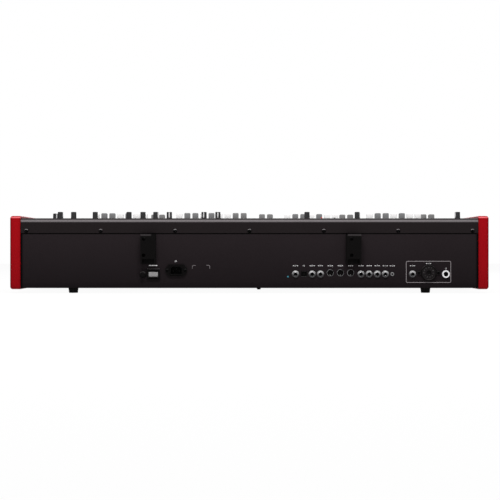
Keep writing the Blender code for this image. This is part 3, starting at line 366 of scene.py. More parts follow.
def add_hollow(bm, outer, inner, levels, place):
    """Add a closed wall between two flat outlines, from one level to the other."""
    layers = [[bm.verts.new(place @ Vector((x, y, z))) for x, y in loop]
              for z in levels for loop in (outer, inner)]
    for a, b in ((0, 1), (1, 3), (3, 2), (2, 0)):
        skin(bm, layers[a], layers[b])


def outward(x, z, y=REAR):
    """Matrix that puts local Z along +Y, out of the rear panel, at (x, z)."""
    return Matrix.Translation((x, y, z)) @ Matrix.Rotation(-math.pi / 2, 4, 'X')


def slab(x, z, half, depths):
    """Corners of a box centred on (x, z), between two distances out from the rear face."""
    return [(x + side * half[0], REAR + depth, z + side * half[1])
            for side, depth in zip((-1, 1), depths)]


# Pieces and how they are attached

def link(obj):
    bpy.context.scene.collection.objects.link(obj)
    return obj


def soften(mesh, angle):
    """Shade a mesh smooth up to an angle in degrees, and keep its broad end faces flat."""
    mesh.shade_smooth()
    mesh.set_sharp_from_angle(angle=math.radians(angle))
    for face in mesh.polygons:
        if len(face.vertices) > BROAD_FACE:
            face.use_smooth = False


def mesh_object(name, bm, paint, smooth=None):
    """Turn a bmesh into an object; smooth is the sharp-edge angle in degrees."""
    bmesh.ops.recalc_face_normals(bm, faces=bm.faces)
    mesh = bpy.data.meshes.new(name)
    bm.to_mesh(mesh)
    bm.free()
    mesh.materials.append(paint)
    if smooth:
        soften(mesh, smooth)
    return link(bpy.data.objects.new(name, mesh))


def edge_rounding(obj, name, width, segments, angle):
    """Add a bevel for edges sharper than an angle in degrees."""
    step = obj.modifiers.new(name, 'BEVEL')
    step.width = width
    step.segments = segments
    step.limit_method = 'ANGLE'
    step.angle_limit = math.radians(angle)
    return step


def round_edges(obj, width, segments=2, angle=30.0):
    """Bevel the sharp edges of a piece for good, then shade it smooth."""
    edge_rounding(obj, "edge_round", width, segments, angle).harden_normals = False
    view = bpy.context.evaluated_depsgraph_get()
    mesh = bpy.data.meshes.new_from_object(obj.evaluated_get(view))
    obj.modifiers.clear()
    obj.data = mesh
    soften(mesh, 40)
    return obj


def ride(obj, body="case", slot=None, replaces=()):
    """Attach a piece to its body and hide the nodes it replaces; slot is not used."""
    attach(obj, body)
    for node in replaces:
        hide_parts(node)
    return obj


def take_mesh(obj):
    """Keep the mesh of a source object for copies, and drop the object."""
    mesh = obj.data
    bpy.data.objects.remove(obj)
    return mesh


def copy_piece(name, mesh, place, *says):
    """Place and attach one more piece with a shared mesh."""
    piece = link(bpy.data.objects.new(name, mesh))
    piece.matrix_world = place
    return ride(piece, *says)


def box_piece(name, paint, boxes, rounding, place=None, **says):
    """Attach boxes as one piece; rounding is the width and steps of its edges."""
    bm = bmesh.new()
    for low, high in boxes:
        add_box(bm, low, high)
    piece = round_edges(mesh_object(name, bm, paint), *rounding)
    if place:
        piece.matrix_world = place
    return ride(piece, **says)


def turned_piece(name, paint, parts, smooth=35, **says):
    """Attach turned bodies as one piece; a part is what add_turned takes, in millimetres."""
    bm = bmesh.new()
    for profile, *rest in parts:
        add_turned(bm, [(r * MM, z * MM) for r, z in profile], *rest)
    return ride(mesh_object(name, bm, paint, smooth), **says)


# Materials

def linear(colour):
    return tuple(((c / 255 + 0.055) / 1.055) ** 2.4 if c > 10 else c / 255 / 12.92
                 for c in colour) + (1.0,)


def lifted(colour, step):
    """The same colour, lighter or darker by a step on the 0 to 255 scale."""
    return tuple(min(max(c + step, 0), 255) for c in colour)


def feed(tree, socket, value):
    """Link an input to an output socket, or set the input's own value."""
    if isinstance(value, bpy.types.NodeSocket):
        tree.links.new(value, socket)
    else:
        socket.default_value = value


def add_node(tree, kind, inputs=(), **settings):
    """Add a node, feed its inputs by name or number, and return its outputs."""
    made = tree.nodes.new(kind)
    for key, value in settings.items():
        setattr(made, key, value)
    for key, value in dict(inputs).items():
        feed(tree, made.inputs[key], value)
    return made.outputs


class Surface:
    """A Principled material with chained colour, roughness and bump detail.

    Masks by height or by distance from the middle need pieces built in world place.
    """

    def __init__(self, name, colour, roughness, metallic=0.0):
        self.mat = bpy.data.materials.new(name)
        self.mat.use_nodes = True
        self.tree = self.mat.node_tree
        self.shader = self.tree.nodes["Principled BSDF"]
        self.colour = linear(colour)
        # A tenth darker tone, painted shade where a rear bend turns to the top.
        self.dusk = tuple(c * 0.9 for c in colour)
        self.roughness = roughness
        self.normal = None
        self.place = self.add("ShaderNodeTexCoord")["Object"]
        self.put("Base Color", self.colour).put("Roughness", roughness).put("Metallic", metallic)

    def add(self, kind, inputs=(), **settings):
        return add_node(self.tree, kind, inputs, **settings)

    def put(self, name, value):
        """Feed one input of the shader itself."""
        feed(self.tree, self.shader.inputs[name], value)
        return self

    def gloss(self, level):
        return self.put("Specular IOR Level", level)

    def noise(self, scale, detail, stretch):
        """Return a noise field in real object space."""
        place = self.add("ShaderNodeMapping", {"Scale": stretch, "Vector": self.place})["Vector"]
        return self.add("ShaderNodeTexNoise",
                        {"Scale": scale, "Detail": detail, "Vector": place})["Fac"]

    def spread(self, source, start, end, high=1.0, low=0.0):
        """Map a field between start and end onto a range of numbers."""
        return self.add("ShaderNodeMapRange", {"Value": source, "From Min": start, "From Max": end,
                                               "To Min": low, "To Max": high})["Result"]

    def times(self, first, second):
        return self.add("ShaderNodeMath", {0: first, 1: second}, operation='MULTIPLY')["Value"]

    def facing(self):
        """Return the three parts of the surface's own direction."""
        normal = self.add("ShaderNodeNewGeometry")["Normal"]
        return self.add("ShaderNodeSeparateXYZ", {"Vector": normal})

    def spot(self):
        """Return the height, and the squared distance from the middle of the organ."""
        parts = self.add("ShaderNodeSeparateXYZ", {"Vector": self.place})
        return parts["Z"], self.times(parts["X"], parts["X"])

    def mask_mix(self, factor, other):
        """Blend a second colour in by a factor socket."""
        inputs = {"A": self.colour, "B": linear(other), "Factor": factor}
        self.colour = self.add("ShaderNodeMix", inputs, data_type='RGBA')["Result"]
        return self.put("Base Color", self.colour)

    def mottle(self, scale, other, amount, detail=3.0, stretch=(1, 1, 1)):
        """Blend a second colour in by noise."""
        field = self.noise(scale, detail, stretch)
        return self.mask_mix(self.spread(field, *NOISE_SPAN, amount), other)

    def rough(self, scale, swing, detail=2.0, stretch=(1, 1, 1)):
        """Vary the roughness by noise about its own value."""
        field = self.noise(scale, detail, stretch)
        span = (self.roughness + swing, self.roughness - swing)
        return self.put("Roughness", self.spread(field, *NOISE_SPAN, *span))

    def bump(self, scale, depth, detail=2.0, strength=1.0, stretch=(1, 1, 1)):
        """Add one layer of relief; depth is its height in metres."""
        inputs = {"Strength": strength, "Distance": depth,
                  "Height": self.noise(scale, detail, stretch)}
        if self.normal:
            inputs["Normal"] = self.normal
        self.normal = self.add("ShaderNodeBump", inputs)["Normal"]
        return self.put("Normal", self.normal)

    def edge_band(self, part, other, amount, start, end):
        """Blend painted light or painted shade in on rounded edges that turn toward one side."""
        middle = (start + end) / 2
        rise = self.spread(part, start, middle, amount)
        fall = self.spread(part, middle, end, 0.0, 1.0)
        return self.mask_mix(self.times(rise, fall), other)

    def lit_tops(self, *band):
        """Blend a painted highlight in on rounded edges that turn upward."""
        return self.edge_band(self.facing()["Z"], *band)

    def dark_sides(self, *band):
        """Blend painted shade in on rounded edges that turn left or right."""
        across = self.facing()["X"]
        return self.edge_band(self.times(across, across), *band)

    def bend_sheen(self, top, bright):
        """Paint a highlight on a rounded rear bend low down, and painted shade where it turns to the
        top.
        """
        parts = self.facing()
        rear = self.spread(parts["Y"], 0.02, 0.2)
        for colour, start, end in ((bright, 0.06, 0.36), (top, 0.42, 0.64), (self.dusk, 0.74, 0.9)):
            self.mask_mix(self.times(self.spread(parts["Z"], start, end), rear), colour)
        return self

    def rear_sheen(self, other):
        """Blend a painted sheen in where the surface faces the rear."""
        return self.mask_mix(self.spread(self.facing()["Y"], 0.35, 0.97), other)

    def by_height(self, other, amount, start, end):
        """Blend a colour in between two heights."""
        return self.mask_mix(self.spread(self.spot()[0], start, end, amount), other)

    def near_cheeks(self, other, amount):
        """Paint the shadow of both cheeks on the wall beside them."""
        return self.mask_mix(self.spread(self.spot()[1], *CHEEK_SHADOW_BAND, amount), other)

    def lip_sheen(self, other):
        """Paint a highlight on a bracket's top band, from its outer end to a slanted inner end."""
        height, aside = self.spot()
        raised = self.spread(height, *BRACKET_HIGHLIGHT_BAND)
        return self.mask_mix(self.times(self.spread(aside, *BRACKET_HIGHLIGHT_END), raised), other)


def powder(name, colour, gloss):
    """Fine powder coat on sheet metal."""
    made = Surface(name, colour, 0.5).mottle(7, lifted(colour, -4), 0.6)
    made.mottle(1500, lifted(colour, 14), 0.35).rough(20, 0.06).bump(2600, 0.00006)
    return made.gloss(gloss).mat


def cap_plastic(name, colour, rear, gloss=0.2):
    """Satin drawbar cap with a painted sheen where it faces the rear."""
    made = Surface(name, colour, 0.4).mottle(1500, lifted(colour, 8), 0.3).rear_sheen(rear)
    return made.rough(120, 0.07).bump(1500, 0.00003).gloss(gloss).mat


def lit_plastic(name, colour, top, roughness, gloss=MATT):
    """Dark plastic or painted screw with a painted highlight on its upward edges."""
    made = Surface(name, colour, roughness).mottle(1500, lifted(colour, 4), 0.3)
    made.lit_tops(top, 1.0, 0.25, 1.15).rough(120, 0.07).bump(1800, 0.00003)
    return made.gloss(gloss).mat


def moulded(name, colour, roughness, lift=10, gloss=0.2):
    """Fine-grained moulded plastic."""
    made = Surface(name, colour, roughness).mottle(30, lifted(colour, -lift), 0.5)
    made.mottle(1800, lifted(colour, lift), 0.3).rough(120, 0.07).bump(1800, 0.00004)
    return made.gloss(gloss).mat


def plated(name, colour, roughness=0.24, top=None):
    """Nickel plating with faint turning marks and tarnish, and a painted highlight on top where asked.
    """
    made = Surface(name, colour, roughness, 1.0)
    if top:
        made.by_height(top, 0.75, *JACK_HIGHLIGHT).lit_tops(top, 1.0, 0.05, 1.7)
    made.mottle(300, lifted(colour, -34), 0.6).rough(500, 0.08)
    return made.bump(2400, 0.00002, 2.0, 1.0, ACROSS_Y).mat


def board_mask(name, colour, trace, gap):
    """Solder mask with lighter traces and darker gaps."""
    made = Surface(name, colour, 0.4).mottle(700, trace, 0.7, 1.0, ACROSS_Y)
    return made.mottle(900, gap, 0.6, 1.0).rough(200, 0.1).bump(800, 0.00005).mat


def print_ink(name, colour):
    """Screen print with slight unevenness."""
    made = Surface(name, colour, 0.5).mottle(900, lifted(colour, -26), 0.5)
    return made.rough(300, 0.08).bump(2500, 0.00001).mat


# Painted light on the lacquer: painted shade towards the bottom and on edges that turn sideways, and a
# painted highlight on edges that turn upward.
RED = (Surface("red_lacquer", (137, 9, 17), 0.34)
       .mottle(9, (122, 7, 14), 0.7).mottle(260, (145, 13, 21), 0.25)
       .rough(35, 0.05).bump(900, 0.00004).bump(60, 0.0001, 1.0, 0.4)
       .by_height((100, 5, 11), 0.35, *CHEEK_SHADE).dark_sides((96, 3, 9), 0.9, 0.05, 0.95)
       .lit_tops((218, 104, 110), 1.0, 0.18, 0.76).gloss(MATT).mat)
# Painted shade on the rear wall, darker towards the bottom and along its lower bend, and a painted
# shadow beside both cheeks.
WALL = (Surface("wall_black", (29, 24, 26), 0.5)
        .mottle(7, (26, 21, 23), 0.6).mottle(1500, (42, 37, 39), 0.35)
        .by_height((8, 6, 7), 0.42, *WALL_SHADE).by_height((9, 7, 8), 0.5, *WALL_BEND_SHADE)
        .near_cheeks((1, 1, 1), 0.96).rough(20, 0.06).bump(2600, 0.00006).gloss(MATT).mat)
# Painted highlight and painted shade on the cover's rounded rear bend, and painted shade along the
# flange's lower edge at the seam.
PANEL_PAINT = (Surface("panel_black", (27, 23, 24), 0.42)
               .mottle(11, (24, 20, 21), 0.6).mottle(1800, (38, 34, 35), 0.3)
               .rough(24, 0.05).bump(3000, 0.00005).bend_sheen((56, 53, 54), (108, 103, 105))
               .by_height((5, 4, 4), 1.0, *FLANGE_SEAM_SHADE).gloss(MATT).mat)
# Painted highlight on the brackets' top band.
BRACKET = (Surface("bracket_black", (8, 7, 7), 0.5)
           .mottle(40, (11, 10, 10), 0.6).mottle(1500, (18, 17, 17), 0.35)
           .lip_sheen((46, 43, 44)).rough(20, 0.06).bump(2600, 0.00006).gloss(MATT).mat)
WHITE_KEY = (Surface("key_white", (232, 230, 221), 0.24)
             .mottle(16, (222, 218, 206), 0.5).rough(60, 0.06).bump(220, 0.00003, 2.0, 0.5)
             .put("Coat Weight", 0.3).put("Coat Roughness", 0.1).mat)
BLACK_KEY = (Surface("key_black", (23, 22, 23), 0.34)
             .mottle(40, (31, 30, 31), 0.5).rough(90, 0.08).bump(1400, 0.00003).mat)
MILL = (Surface("mill_metal", (168, 168, 170), 0.38, 1.0)
        .mottle(60, (140, 140, 142), 0.5, 3.0, (0.05, 1, 1)).rough(260, 0.1, 2.0, ALONG_X)
        .bump(1500, 0.00003, 2.0, 1.0, ALONG_X).mat)
RUBBER = (Surface("foot_rubber", (17, 16, 16), 0.82)
          .mottle(90, (24, 23, 23), 0.6).rough(160, 0.08).bump(1300, 0.0001, 3.0).gloss(0.1).mat)
# Port shell with painted shadow above its lower lip.
PORT_STEEL = (Surface("port_steel", (58, 56, 57), 0.4).mottle(300, (48, 46, 47), 0.5)
              .by_height((11, 10, 11), 1.0, *PORT_LIP_SHADOW).gloss(0.1).mat)
BLOCK = moulded("block_black", (32, 31, 32), 0.5)
KNOB = moulded("knob_grey", (38, 38, 39), 0.5, 8, 0.1)
STEM = moulded("stem_black", (26, 26, 27), 0.4)
KEY_ARM = moulded("key_arm", (205, 203, 196), 0.5)
BUTTON = moulded("button_grey", (84, 84, 86), 0.6)
# Light grey on the rocker's lower half is a painted reflection, not the rocker's own colour.
SWITCH_REFLECTION = moulded("switch_light", (128, 127, 127), 0.4)
WHITE_RING = moulded("ring_white", (208, 208, 210), 0.35)
SOCKET_DARK = moulded("socket_dark", (6, 5, 5), 0.6, 3, 0.05)
# The second colour of each cap is a painted sheen on the faces that turn to the rear.
CAP_COLOURS = {
    "brown": cap_plastic("cap_warm_grey", (62, 52, 46), (128, 127, 127)),
    "white": cap_plastic("cap_white", (240, 238, 238), (254, 253, 253), 0.9),
    "black": cap_plastic("cap_grey", (52, 52, 53), (126, 126, 127)),
}
# Sockets, housings and screws with a painted highlight on their upward edges.
SOCKET = lit_plastic("socket_black", (8, 7, 7), (56, 53, 53), 0.42, 0.03)
BLACK_SCREW = lit_plastic("screw_black", (4, 4, 4), (120, 116, 117), 0.34)
DULL_SCREW = lit_plastic("screw_dull", (4, 4, 4), (40, 38, 38), 0.5)
# Nickel with a painted highlight on the nuts' upper half and upward edges.
NICKEL = plated("nickel", (84, 83, 85), 0.24, (240, 239, 240))
SHELL = plated("shell", (138, 137, 138))
DULL_STEEL = plated("dull_steel", (104, 102, 102), 0.36)
BOARD = board_mask("board_mask", (24, 70, 42), (44, 104, 66), (18, 52, 32))
DARK_BOARD = board_mask("board_mask_dark", (14, 18, 16), (26, 32, 28), (9, 11, 10))
SLIP = powder("slip_black", (30, 28, 29), 0.2)
# Lighter paint on the switch bezel's top lip, a painted highlight.
BEZEL_HIGHLIGHT = powder("bracket_rim", (62, 59, 60), 0.08)
SPEAKER_BODY = powder("speaker_body", (20, 17, 18), 0.05)
INK = print_ink("print_white", (205, 203, 204))
INK_GREY = print_ink("print_grey", (128, 122, 124))
INK_KNOB = print_ink("knob_pointer", (196, 195, 195))
LED_RED = print_ink("led_red", (196, 24, 30))
LED_GREEN = print_ink("led_green", (40, 150, 70))
PORT_BLUE = print_ink("port_blue", (22, 112, 128))


# Case: painted nodes that keep their own shape

def paint_nodes():
    """Give every kept node its finish, and soften its folded edges."""
    finishes = {
        WALL: ("base_chassis",),
        PANEL_PAINT: ("top_cover",),
        SLIP: ("lower_key_slip", "upper_key_slip"),
        BLOCK: ("left_key_block", "right_key_block"),
        BRACKET: ("left_stand_bracket", "right_stand_bracket"),
        SPEAKER_BODY: ("rotary_speaker_socket",),
        MILL: ("lower_key_bed", "upper_key_bed", "power_supply"),
        BOARD: ("lower_contact_board", "upper_contact_board", "main_board"),
        DARK_BOARD: ("drawbar_board",),
        SOCKET: (*SOCKET_BOARDS, "mains_inlet", "fuse_holder", "power_switch_housing",
                 "power_switch_rocker"),
    }
    for paint, nodes in finishes.items():
        for node in nodes:
            for slot in frame["nodes"][node].material_slots:
                slot.material = paint
    folds = {"base_chassis": 0.0003, "left_key_block": 0.0008, "right_key_block": 0.0008,
             "left_stand_bracket": 0.0005, "right_stand_bracket": 0.0005,
             "lower_key_bed": 0.0004, "upper_key_bed": 0.0004, "power_switch_housing": 0.0003}
    for node, width in folds.items():
        edge_rounding(frame["nodes"][node], "fold", width, 2, 40)


# Cheeks

def cheek_outline(low, high):
    """Side view of a cheek inside its box: flat top, shoulder, arm and rounded nose."""
    front, bottom, rear, top = *low[1:], *high[1:]
    shoulder = (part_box("upper_ceg_keys")[0][1] - SHOULDER_LEAD, SHOULDER_HEIGHT)
    r, nose = CHEEK_CORNER, CHEEK_NOSE_ROUND
    outline = arc((rear - r, bottom + r), r, -90, 0, 8)
    outline += arc((rear - r, top - r), r, 0, 90, 8)
    outline += ease((rear - CHEEK_FLAT, top), shoulder, 24)
    outline += ease(shoulder, (shoulder[0] - SHOULDER_RUN, ARM_HEIGHT), 16)[1:]
    outline += arc((front + nose, NOSE_HEIGHT - nose), nose, 90, 180, 14)
    return outline + arc((front + r, bottom + r), r, 180, 270, 8)


def inset_outline(outline, inset):
    """Move a closed outline inward, square to its own edges."""
    points = [Vector(point) for point in outline]
    area = sum(a.cross(b) for a, b in zip(points[-1:] + points, points))
    turn = math.copysign(1, area)
    moved = []
    for before, point, after in zip(points[-1:] + points, points, points[1:] + points[:1]):
        ahead = (after - point).normalized()
        along = ((point - before).normalized() + ahead).normalized()
        reach = turn * inset / max(along.dot(ahead), 0.5)
        moved.append((point.x - along.y * reach, point.y + along.x * reach))
    return moved


def build_cheeks():
    """Lacquered end cheeks with fine curves, a chamfered inner and a rounded outer edge."""
    for node, side in (("left_cheek", -1), ("right_cheek", 1)):
        low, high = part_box(node)
        outline = cheek_outline(low, high)
        inside, outside = (high[0], low[0]) if side < 0 else (low[0], high[0])
        rings = []
        for turn in range(0, 120, 30):
            inset = CHEEK_INNER_ROUND * math.cos(math.radians(turn))
            rings.append((inside + side * (CHEEK_INNER_ROUND - inset), inset))
        for across, up in arc((0, 0), CHEEK_ROUND, 90, 0, 9):
            rings.append((outside - side * (CHEEK_ROUND - across), CHEEK_ROUND - up))
        bm = bmesh.new()
        add_lofted(bm, [[(x, y, z) for y, z in inset_outline(outline, inset)]
                        for x, inset in rings])
        ride(mesh_object(f"{node}_lacquer", bm, RED, 50), slot="cheek_red", replaces=(node,))


# Manuals

def sharp_centre(natural):
    """X of the sharp just right of a natural, or None where there is none."""
    offset = SHARP_OFFSETS.get(natural % OCTAVE)
    if offset is None or not 0 <= natural < NATURALS - 1:
        return None
    return -NATURALS * NATURAL_PITCH / 2 + (natural + 1) * NATURAL_PITCH + offset


def natural_plan(natural):
    """Plan outline of one natural from its own front left corner, notched round its sharps."""
    x0 = (natural + 0.5 - NATURALS / 2) * NATURAL_PITCH - NATURAL_WIDTH / 2
    side = SHARP_WIDTH / 2 + SHARP_SLOT
    left = sharp_centre(natural - 1)
    right = sharp_centre(natural)
    t0 = 0 if left is None else left + side - x0
    t1 = NATURAL_WIDTH if right is None else right - side - x0
    plan = [(0, 0), (NATURAL_WIDTH, 0), (NATURAL_WIDTH, NATURAL_HEAD)]
    if right is not None:
        plan.append((t1, NATURAL_HEAD))
    plan += [(t1, NATURAL_TAIL), (t0, NATURAL_TAIL)]
    if left is not None:
        plan.append((t0, NATURAL_HEAD))
    return x0, (t0 + t1) / 2, plan + [(0, NATURAL_HEAD)]


def natural_shape(name, plan):
    """Waterfall natural: a notched plate whose front rolls down into a lip."""
    bm = bmesh.new()
    add_lofted(bm, [[(x, y, z) for x, y in plan] for z in (-NATURAL_PLATE, 0)])
    bmesh.ops.bisect_plane(bm, geom=bm.verts[:] + bm.edges[:] + bm.faces[:],
                           plane_co=(0, WATERFALL_THICK, 0), plane_no=(0, 1, 0))
    under = [f for f in bm.faces if all(v.co.z < -NATURAL_PLATE / 2
                                        and v.co.y < WATERFALL_THICK + TOUCH for v in f.verts)]
    for face in bmesh.ops.extrude_discrete_faces(bm, faces=under)["faces"]:
        bmesh.ops.translate(bm, verts=face.verts, vec=(0, 0, NATURAL_PLATE - WATERFALL_HEIGHT))
    bmesh.ops.recalc_face_normals(bm, faces=bm.faces)
    roll = [e for e in bm.edges if all(v.co.y < TOUCH and v.co.z > -TOUCH for v in e.verts)]
    bmesh.ops.bevel(bm, geom=roll, offset=WATERFALL_ROUND, segments=7, profile=0.5,
                    affect='EDGES')
    return round_edges(mesh_object(name, bm, WHITE_KEY), KEY_EDGE)


def sharp_shape(name):
    """Raised sharp with tapered sides, a sloped front and soft edges."""
    bm = bmesh.new()
    start, rise = SHARP_SLOT, SHARP_HEIGHT
    outline = [(start, -NATURAL_PLATE), (start, 0.0005), (start + rise * 0.42, rise * 0.86),
               (start + rise * 0.75, rise), (SHARP_LENGTH, rise), (SHARP_LENGTH, -NATURAL_PLATE)]
    for vert in add_prism(bm, -SHARP_WIDTH / 2, SHARP_WIDTH, outline):
        if vert.co.z > rise / 2:
            vert.co.x *= SHARP_TAPER
    return round_edges(mesh_object(name, bm, BLACK_KEY), SHARP_EDGE, 3, 24)


def build_comb(node, kind, lane, slot, front, reach, keys):
    """Separate keys of one comb, and the arms and spine that join them behind the rib.

    Each key is its number, its mesh, the x of its place and the x of its tail.
    """
    low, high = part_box(node)
    pivot = JOINTS[f"{node}_press"]["pos_m"]
    top = pivot[2] + HINGE_DROP
    base = pivot[2] + ARM_CLEAR
    back = pivot[1] - SPINE_DEPTH / 2 + lane * SPINE_STEP
    spine_low = pivot[2] + SPINE_RISE
    start = front + reach - ARM_LAP
    ends = [back + SPINE_DEPTH * share for share in (0.9, 0.1)]
    outline = [(start, base), (ends[0], base), (ends[0], spine_low + SPINE_LAP),
               (ends[1], spine_low + SPINE_LAP), (ends[1], base + ARM_THICK),
               (start + KEY_RISER, base + ARM_THICK),
               (start + KEY_RISER, top - NATURAL_PLATE), (start, top - NATURAL_PLATE)]
    bm = bmesh.new()
    for number, mesh, x, tail in keys:
        copy_piece(f"{node.split('_')[0]}_{kind}_{number:02d}", mesh,
                   Matrix.Translation((x, front, top)), node, slot, (node,))
        add_prism(bm, tail - ARM_WIDTH / 2, ARM_WIDTH, outline)
    add_box(bm, (low[0] + SPINE_END, back, spine_low),
            (high[0] - SPINE_END, back + SPINE_DEPTH, spine_low + SPINE_THICK))
    ride(round_edges(mesh_object(f"{node}_arms", bm, KEY_ARM), 0.0003, 1), node, slot, (node,))


def build_manual(label, meshes):
    """Sixty-one separate keys on the three combs of one manual."""
    for lane, (tag, steps) in enumerate(NATURAL_COMBS):
        node = f"{label}_{tag}_keys"
        keys = []
        for natural in (n for n in range(NATURALS) if n % OCTAVE in steps):
            x, tail, plan = natural_plan(natural)
            kind = "last" if natural == NATURALS - 1 else natural % OCTAVE
            if kind not in meshes:
                meshes[kind] = take_mesh(natural_shape(f"natural_{kind}", plan))
            keys.append((natural + 1, meshes[kind], x, x + tail))
        build_comb(node, "natural", lane, "natural_white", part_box(node)[0][1], NATURAL_TAIL, keys)
    if "sharp" not in meshes:
        meshes["sharp"] = take_mesh(sharp_shape("sharp"))
    places = [(n + 1, sharp_centre(n)) for n in range(NATURALS)]
    build_comb(f"{label}_sharp_keys", "sharp", len(NATURAL_COMBS), "sharp_black",
               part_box(f"{label}_ceg_keys")[0][1] + NATURAL_HEAD, SHARP_LENGTH,
               [(number, meshes["sharp"], x, x) for number, x in places if x is not None])


# Drawbars, knobs and buttons

def cap_outline():
    """Side view of a drawbar cap: rounded rear top edge, ridged grip, chamfered front."""
    top = CAP_CLEAR + CAP_HEIGHT
    half = CAP_DEPTH / 2
    outline = [(-half, CAP_CLEAR), (half, CAP_CLEAR)]
    outline += arc((half - CAP_CROWN, top - CAP_CROWN), CAP_CROWN, 0, 90, 4)
    for i in range(CAP_RIDGES):
        y = half - CAP_RIDGE_START - i * CAP_RIDGE_PITCH
        outline += [(y - CAP_RIDGE_PITCH * share, top - drop)
                    for share, drop in ((0, 0), (0.3, CAP_RIDGE), (0.6, CAP_RIDGE), (0.8, 0))]
    return outline + [(-half + CAP_CHAMFER[0], top), (-half, top - CAP_CHAMFER[1])]


def cap_shape(name, paint):
    """Drawbar cap about its stem, with its two top corners rounded and its faces crowned."""
    outline = cap_outline()
    middle = CAP_CLEAR + CAP_HEIGHT / 2
    turns = [math.radians(15 * i) for i in range(7)]
    rings = []
    for side, steps in ((-1, reversed(turns)), (1, turns)):
        for turn in steps:
            fall = 1 - math.cos(turn)
            x = side * (CAP_WIDTH / 2 - CAP_CORNER * (1 - math.sin(turn)))
            squeeze = 1 - fall * CAP_CROWN / CAP_DEPTH
            rings.append([(x, y * squeeze, z - (fall * CAP_CORNER if z > middle else 0))
                          for y, z in outline])
    bm = bmesh.new()
    add_lofted(bm, rings)
    return round_edges(mesh_object(name, bm, paint), 0.0003, 2, 50)


def build_drawbars():
    """Caps, stems and rails of every drawbar group, each on its own slide."""
    shapes = {colour: take_mesh(cap_shape(f"cap_{colour}", paint))
              for colour, paint in CAP_COLOURS.items()}
    for set_name, start in SET_STARTS.items():
        for tag, first, last in BAR_GROUPS[:1 if set_name == "bass" else 2]:
            node = f"{set_name}_{tag}_drawbars"
            slot = "cap_brown" if tag == "brown" else "cap_mixed"
            y = JOINTS[f"{node}_slide"]["range_m"][0] - BAR_PUSHED
            xs = [start + index * BAR_PITCH for index in range(first, last)]
            for index, x in enumerate(xs, first):
                copy_piece(f"{set_name}_cap_{index + 1}", shapes[CAP_ORDER[index]],
                           PANEL @ Matrix.Translation((x, y, 0)), node, slot, (node,))
            boxes = [((x - STEM_HALF[0], y - STEM_HALF[1], RAIL_LOW + STEM_FOOT),
                      (x + STEM_HALF[0], y + STEM_HALF[1], CAP_CLEAR + STEM_LAP)) for x in xs]
            boxes.append(((xs[0] - RAIL_END, y - RAIL_HALF, RAIL_LOW),
                          (xs[-1] + RAIL_END, y + RAIL_HALF, RAIL_HIGH)))
            box_piece(f"{node}_rail", STEM, boxes, (0.0004, 2), PANEL,
                      body=node, slot=slot, replaces=(node,))


def knob_shape(name):
    """Ribbed control knob about its own axis, with a dished top and a shaft."""
    bm = bmesh.new()
    r = KNOB_TOP_RADIUS
    profile = [(0, KNOB_LOW), (KNOB_RADIUS, KNOB_LOW), (KNOB_RADIUS, KNOB_LOW + 0.0012),
               (KNOB_RADIUS * 0.955, KNOB_LOW + 0.0016), (r * 0.985, KNOB_TOP - 0.0009),
               (r * 0.93, KNOB_TOP - 0.0003), (r * 0.80, KNOB_TOP), (r * 0.66, KNOB_TOP - 0.0003),
               (0, KNOB_TOP - 0.0006)]
    add_turned(bm, profile, Matrix(), 72,
               lambda i, radius: 1.0 if i % 3 or radius < r * 0.9 else KNOB_GROOVE)
    shaft_top = KNOB_LOW + 0.003
    add_turned(bm, [(0, SHAFT_LOW), (SHAFT_RADIUS, SHAFT_LOW), (SHAFT_RADIUS, shaft_top),
                    (0, shaft_top)], Matrix(), 24)
    return mesh_object(name, bm, KNOB, 32)


def pointer_shape(name):
    """White pointer let into the knob's top and side."""
    bm = bmesh.new()
    r = KNOB_TOP_RADIUS
    foot = KNOB_LOW + 0.0018
    add_prism(bm, -POINTER_HALF, 2 * POINTER_HALF,
              [(r * 0.25, KNOB_TOP - 0.0008), (r * 0.25, KNOB_TOP + 0.00003),
               (r * 0.80, KNOB_TOP + 0.00008), (r * 0.965, KNOB_TOP - 0.0003),
               (KNOB_RADIUS * 0.992, foot), (KNOB_RADIUS * 0.90, foot), (r * 0.88, KNOB_TOP - 0.0012)])
    return mesh_object(name, bm, INK_KNOB, 40)


def build_knobs():
    """Thirteen knobs, each with the pointer turned as the photo shows it."""
    shapes = {"grip": take_mesh(knob_shape("grip")), "pointer": take_mesh(pointer_shape("pointer"))}
    for number, turned in enumerate(KNOB_TURNS, 1):
        node = f"knob_{number:02d}"
        place = (Matrix.Translation(JOINTS[f"{node}_turn"]["pos_m"])
                 @ Matrix.Rotation(PANEL_SLOPE, 4, 'X')
                 @ Matrix.Rotation(math.radians(turned), 4, 'Z'))
        for label, mesh in shapes.items():
            copy_piece(f"{node}_{label}", mesh, place, node, "knob_grey", (node,))


def build_buttons():
    """Soft keycaps with a lit window each, on the two rubber mats."""
    for node, places in BUTTON_PLACES.items():
        boxes = [((x - BUTTON_HALF, -d - BUTTON_HALF, MAT_LOW + KEYCAP_FOOT),
                  (x + BUTTON_HALF, -d + BUTTON_HALF, BUTTON_RISE)) for x, d in places]
        xs, depths = zip(*places)
        edge = BUTTON_HALF + MAT_EDGE
        boxes.append(((min(xs) - edge, -max(depths) - edge, MAT_LOW),
                      (max(xs) + edge, -min(depths) + edge, MAT_LOW + MAT_THICK)))
        box_piece(f"{node}_caps", BUTTON, boxes, (0.0006, 3), PANEL,
                  body=node, slot="button_rubber", replaces=(node,))
        for number, (x, depth) in enumerate(places, 1):
            window = [Vector((x, -depth, BUTTON_RISE)) + corner for corner in WINDOW]
            box_piece(f"{node}_window_{number}", LED_RED if number % 3 == 1 else LED_GREEN,
                      [window], (0.0002, 2), PANEL, body=node, slot="button_rubber")


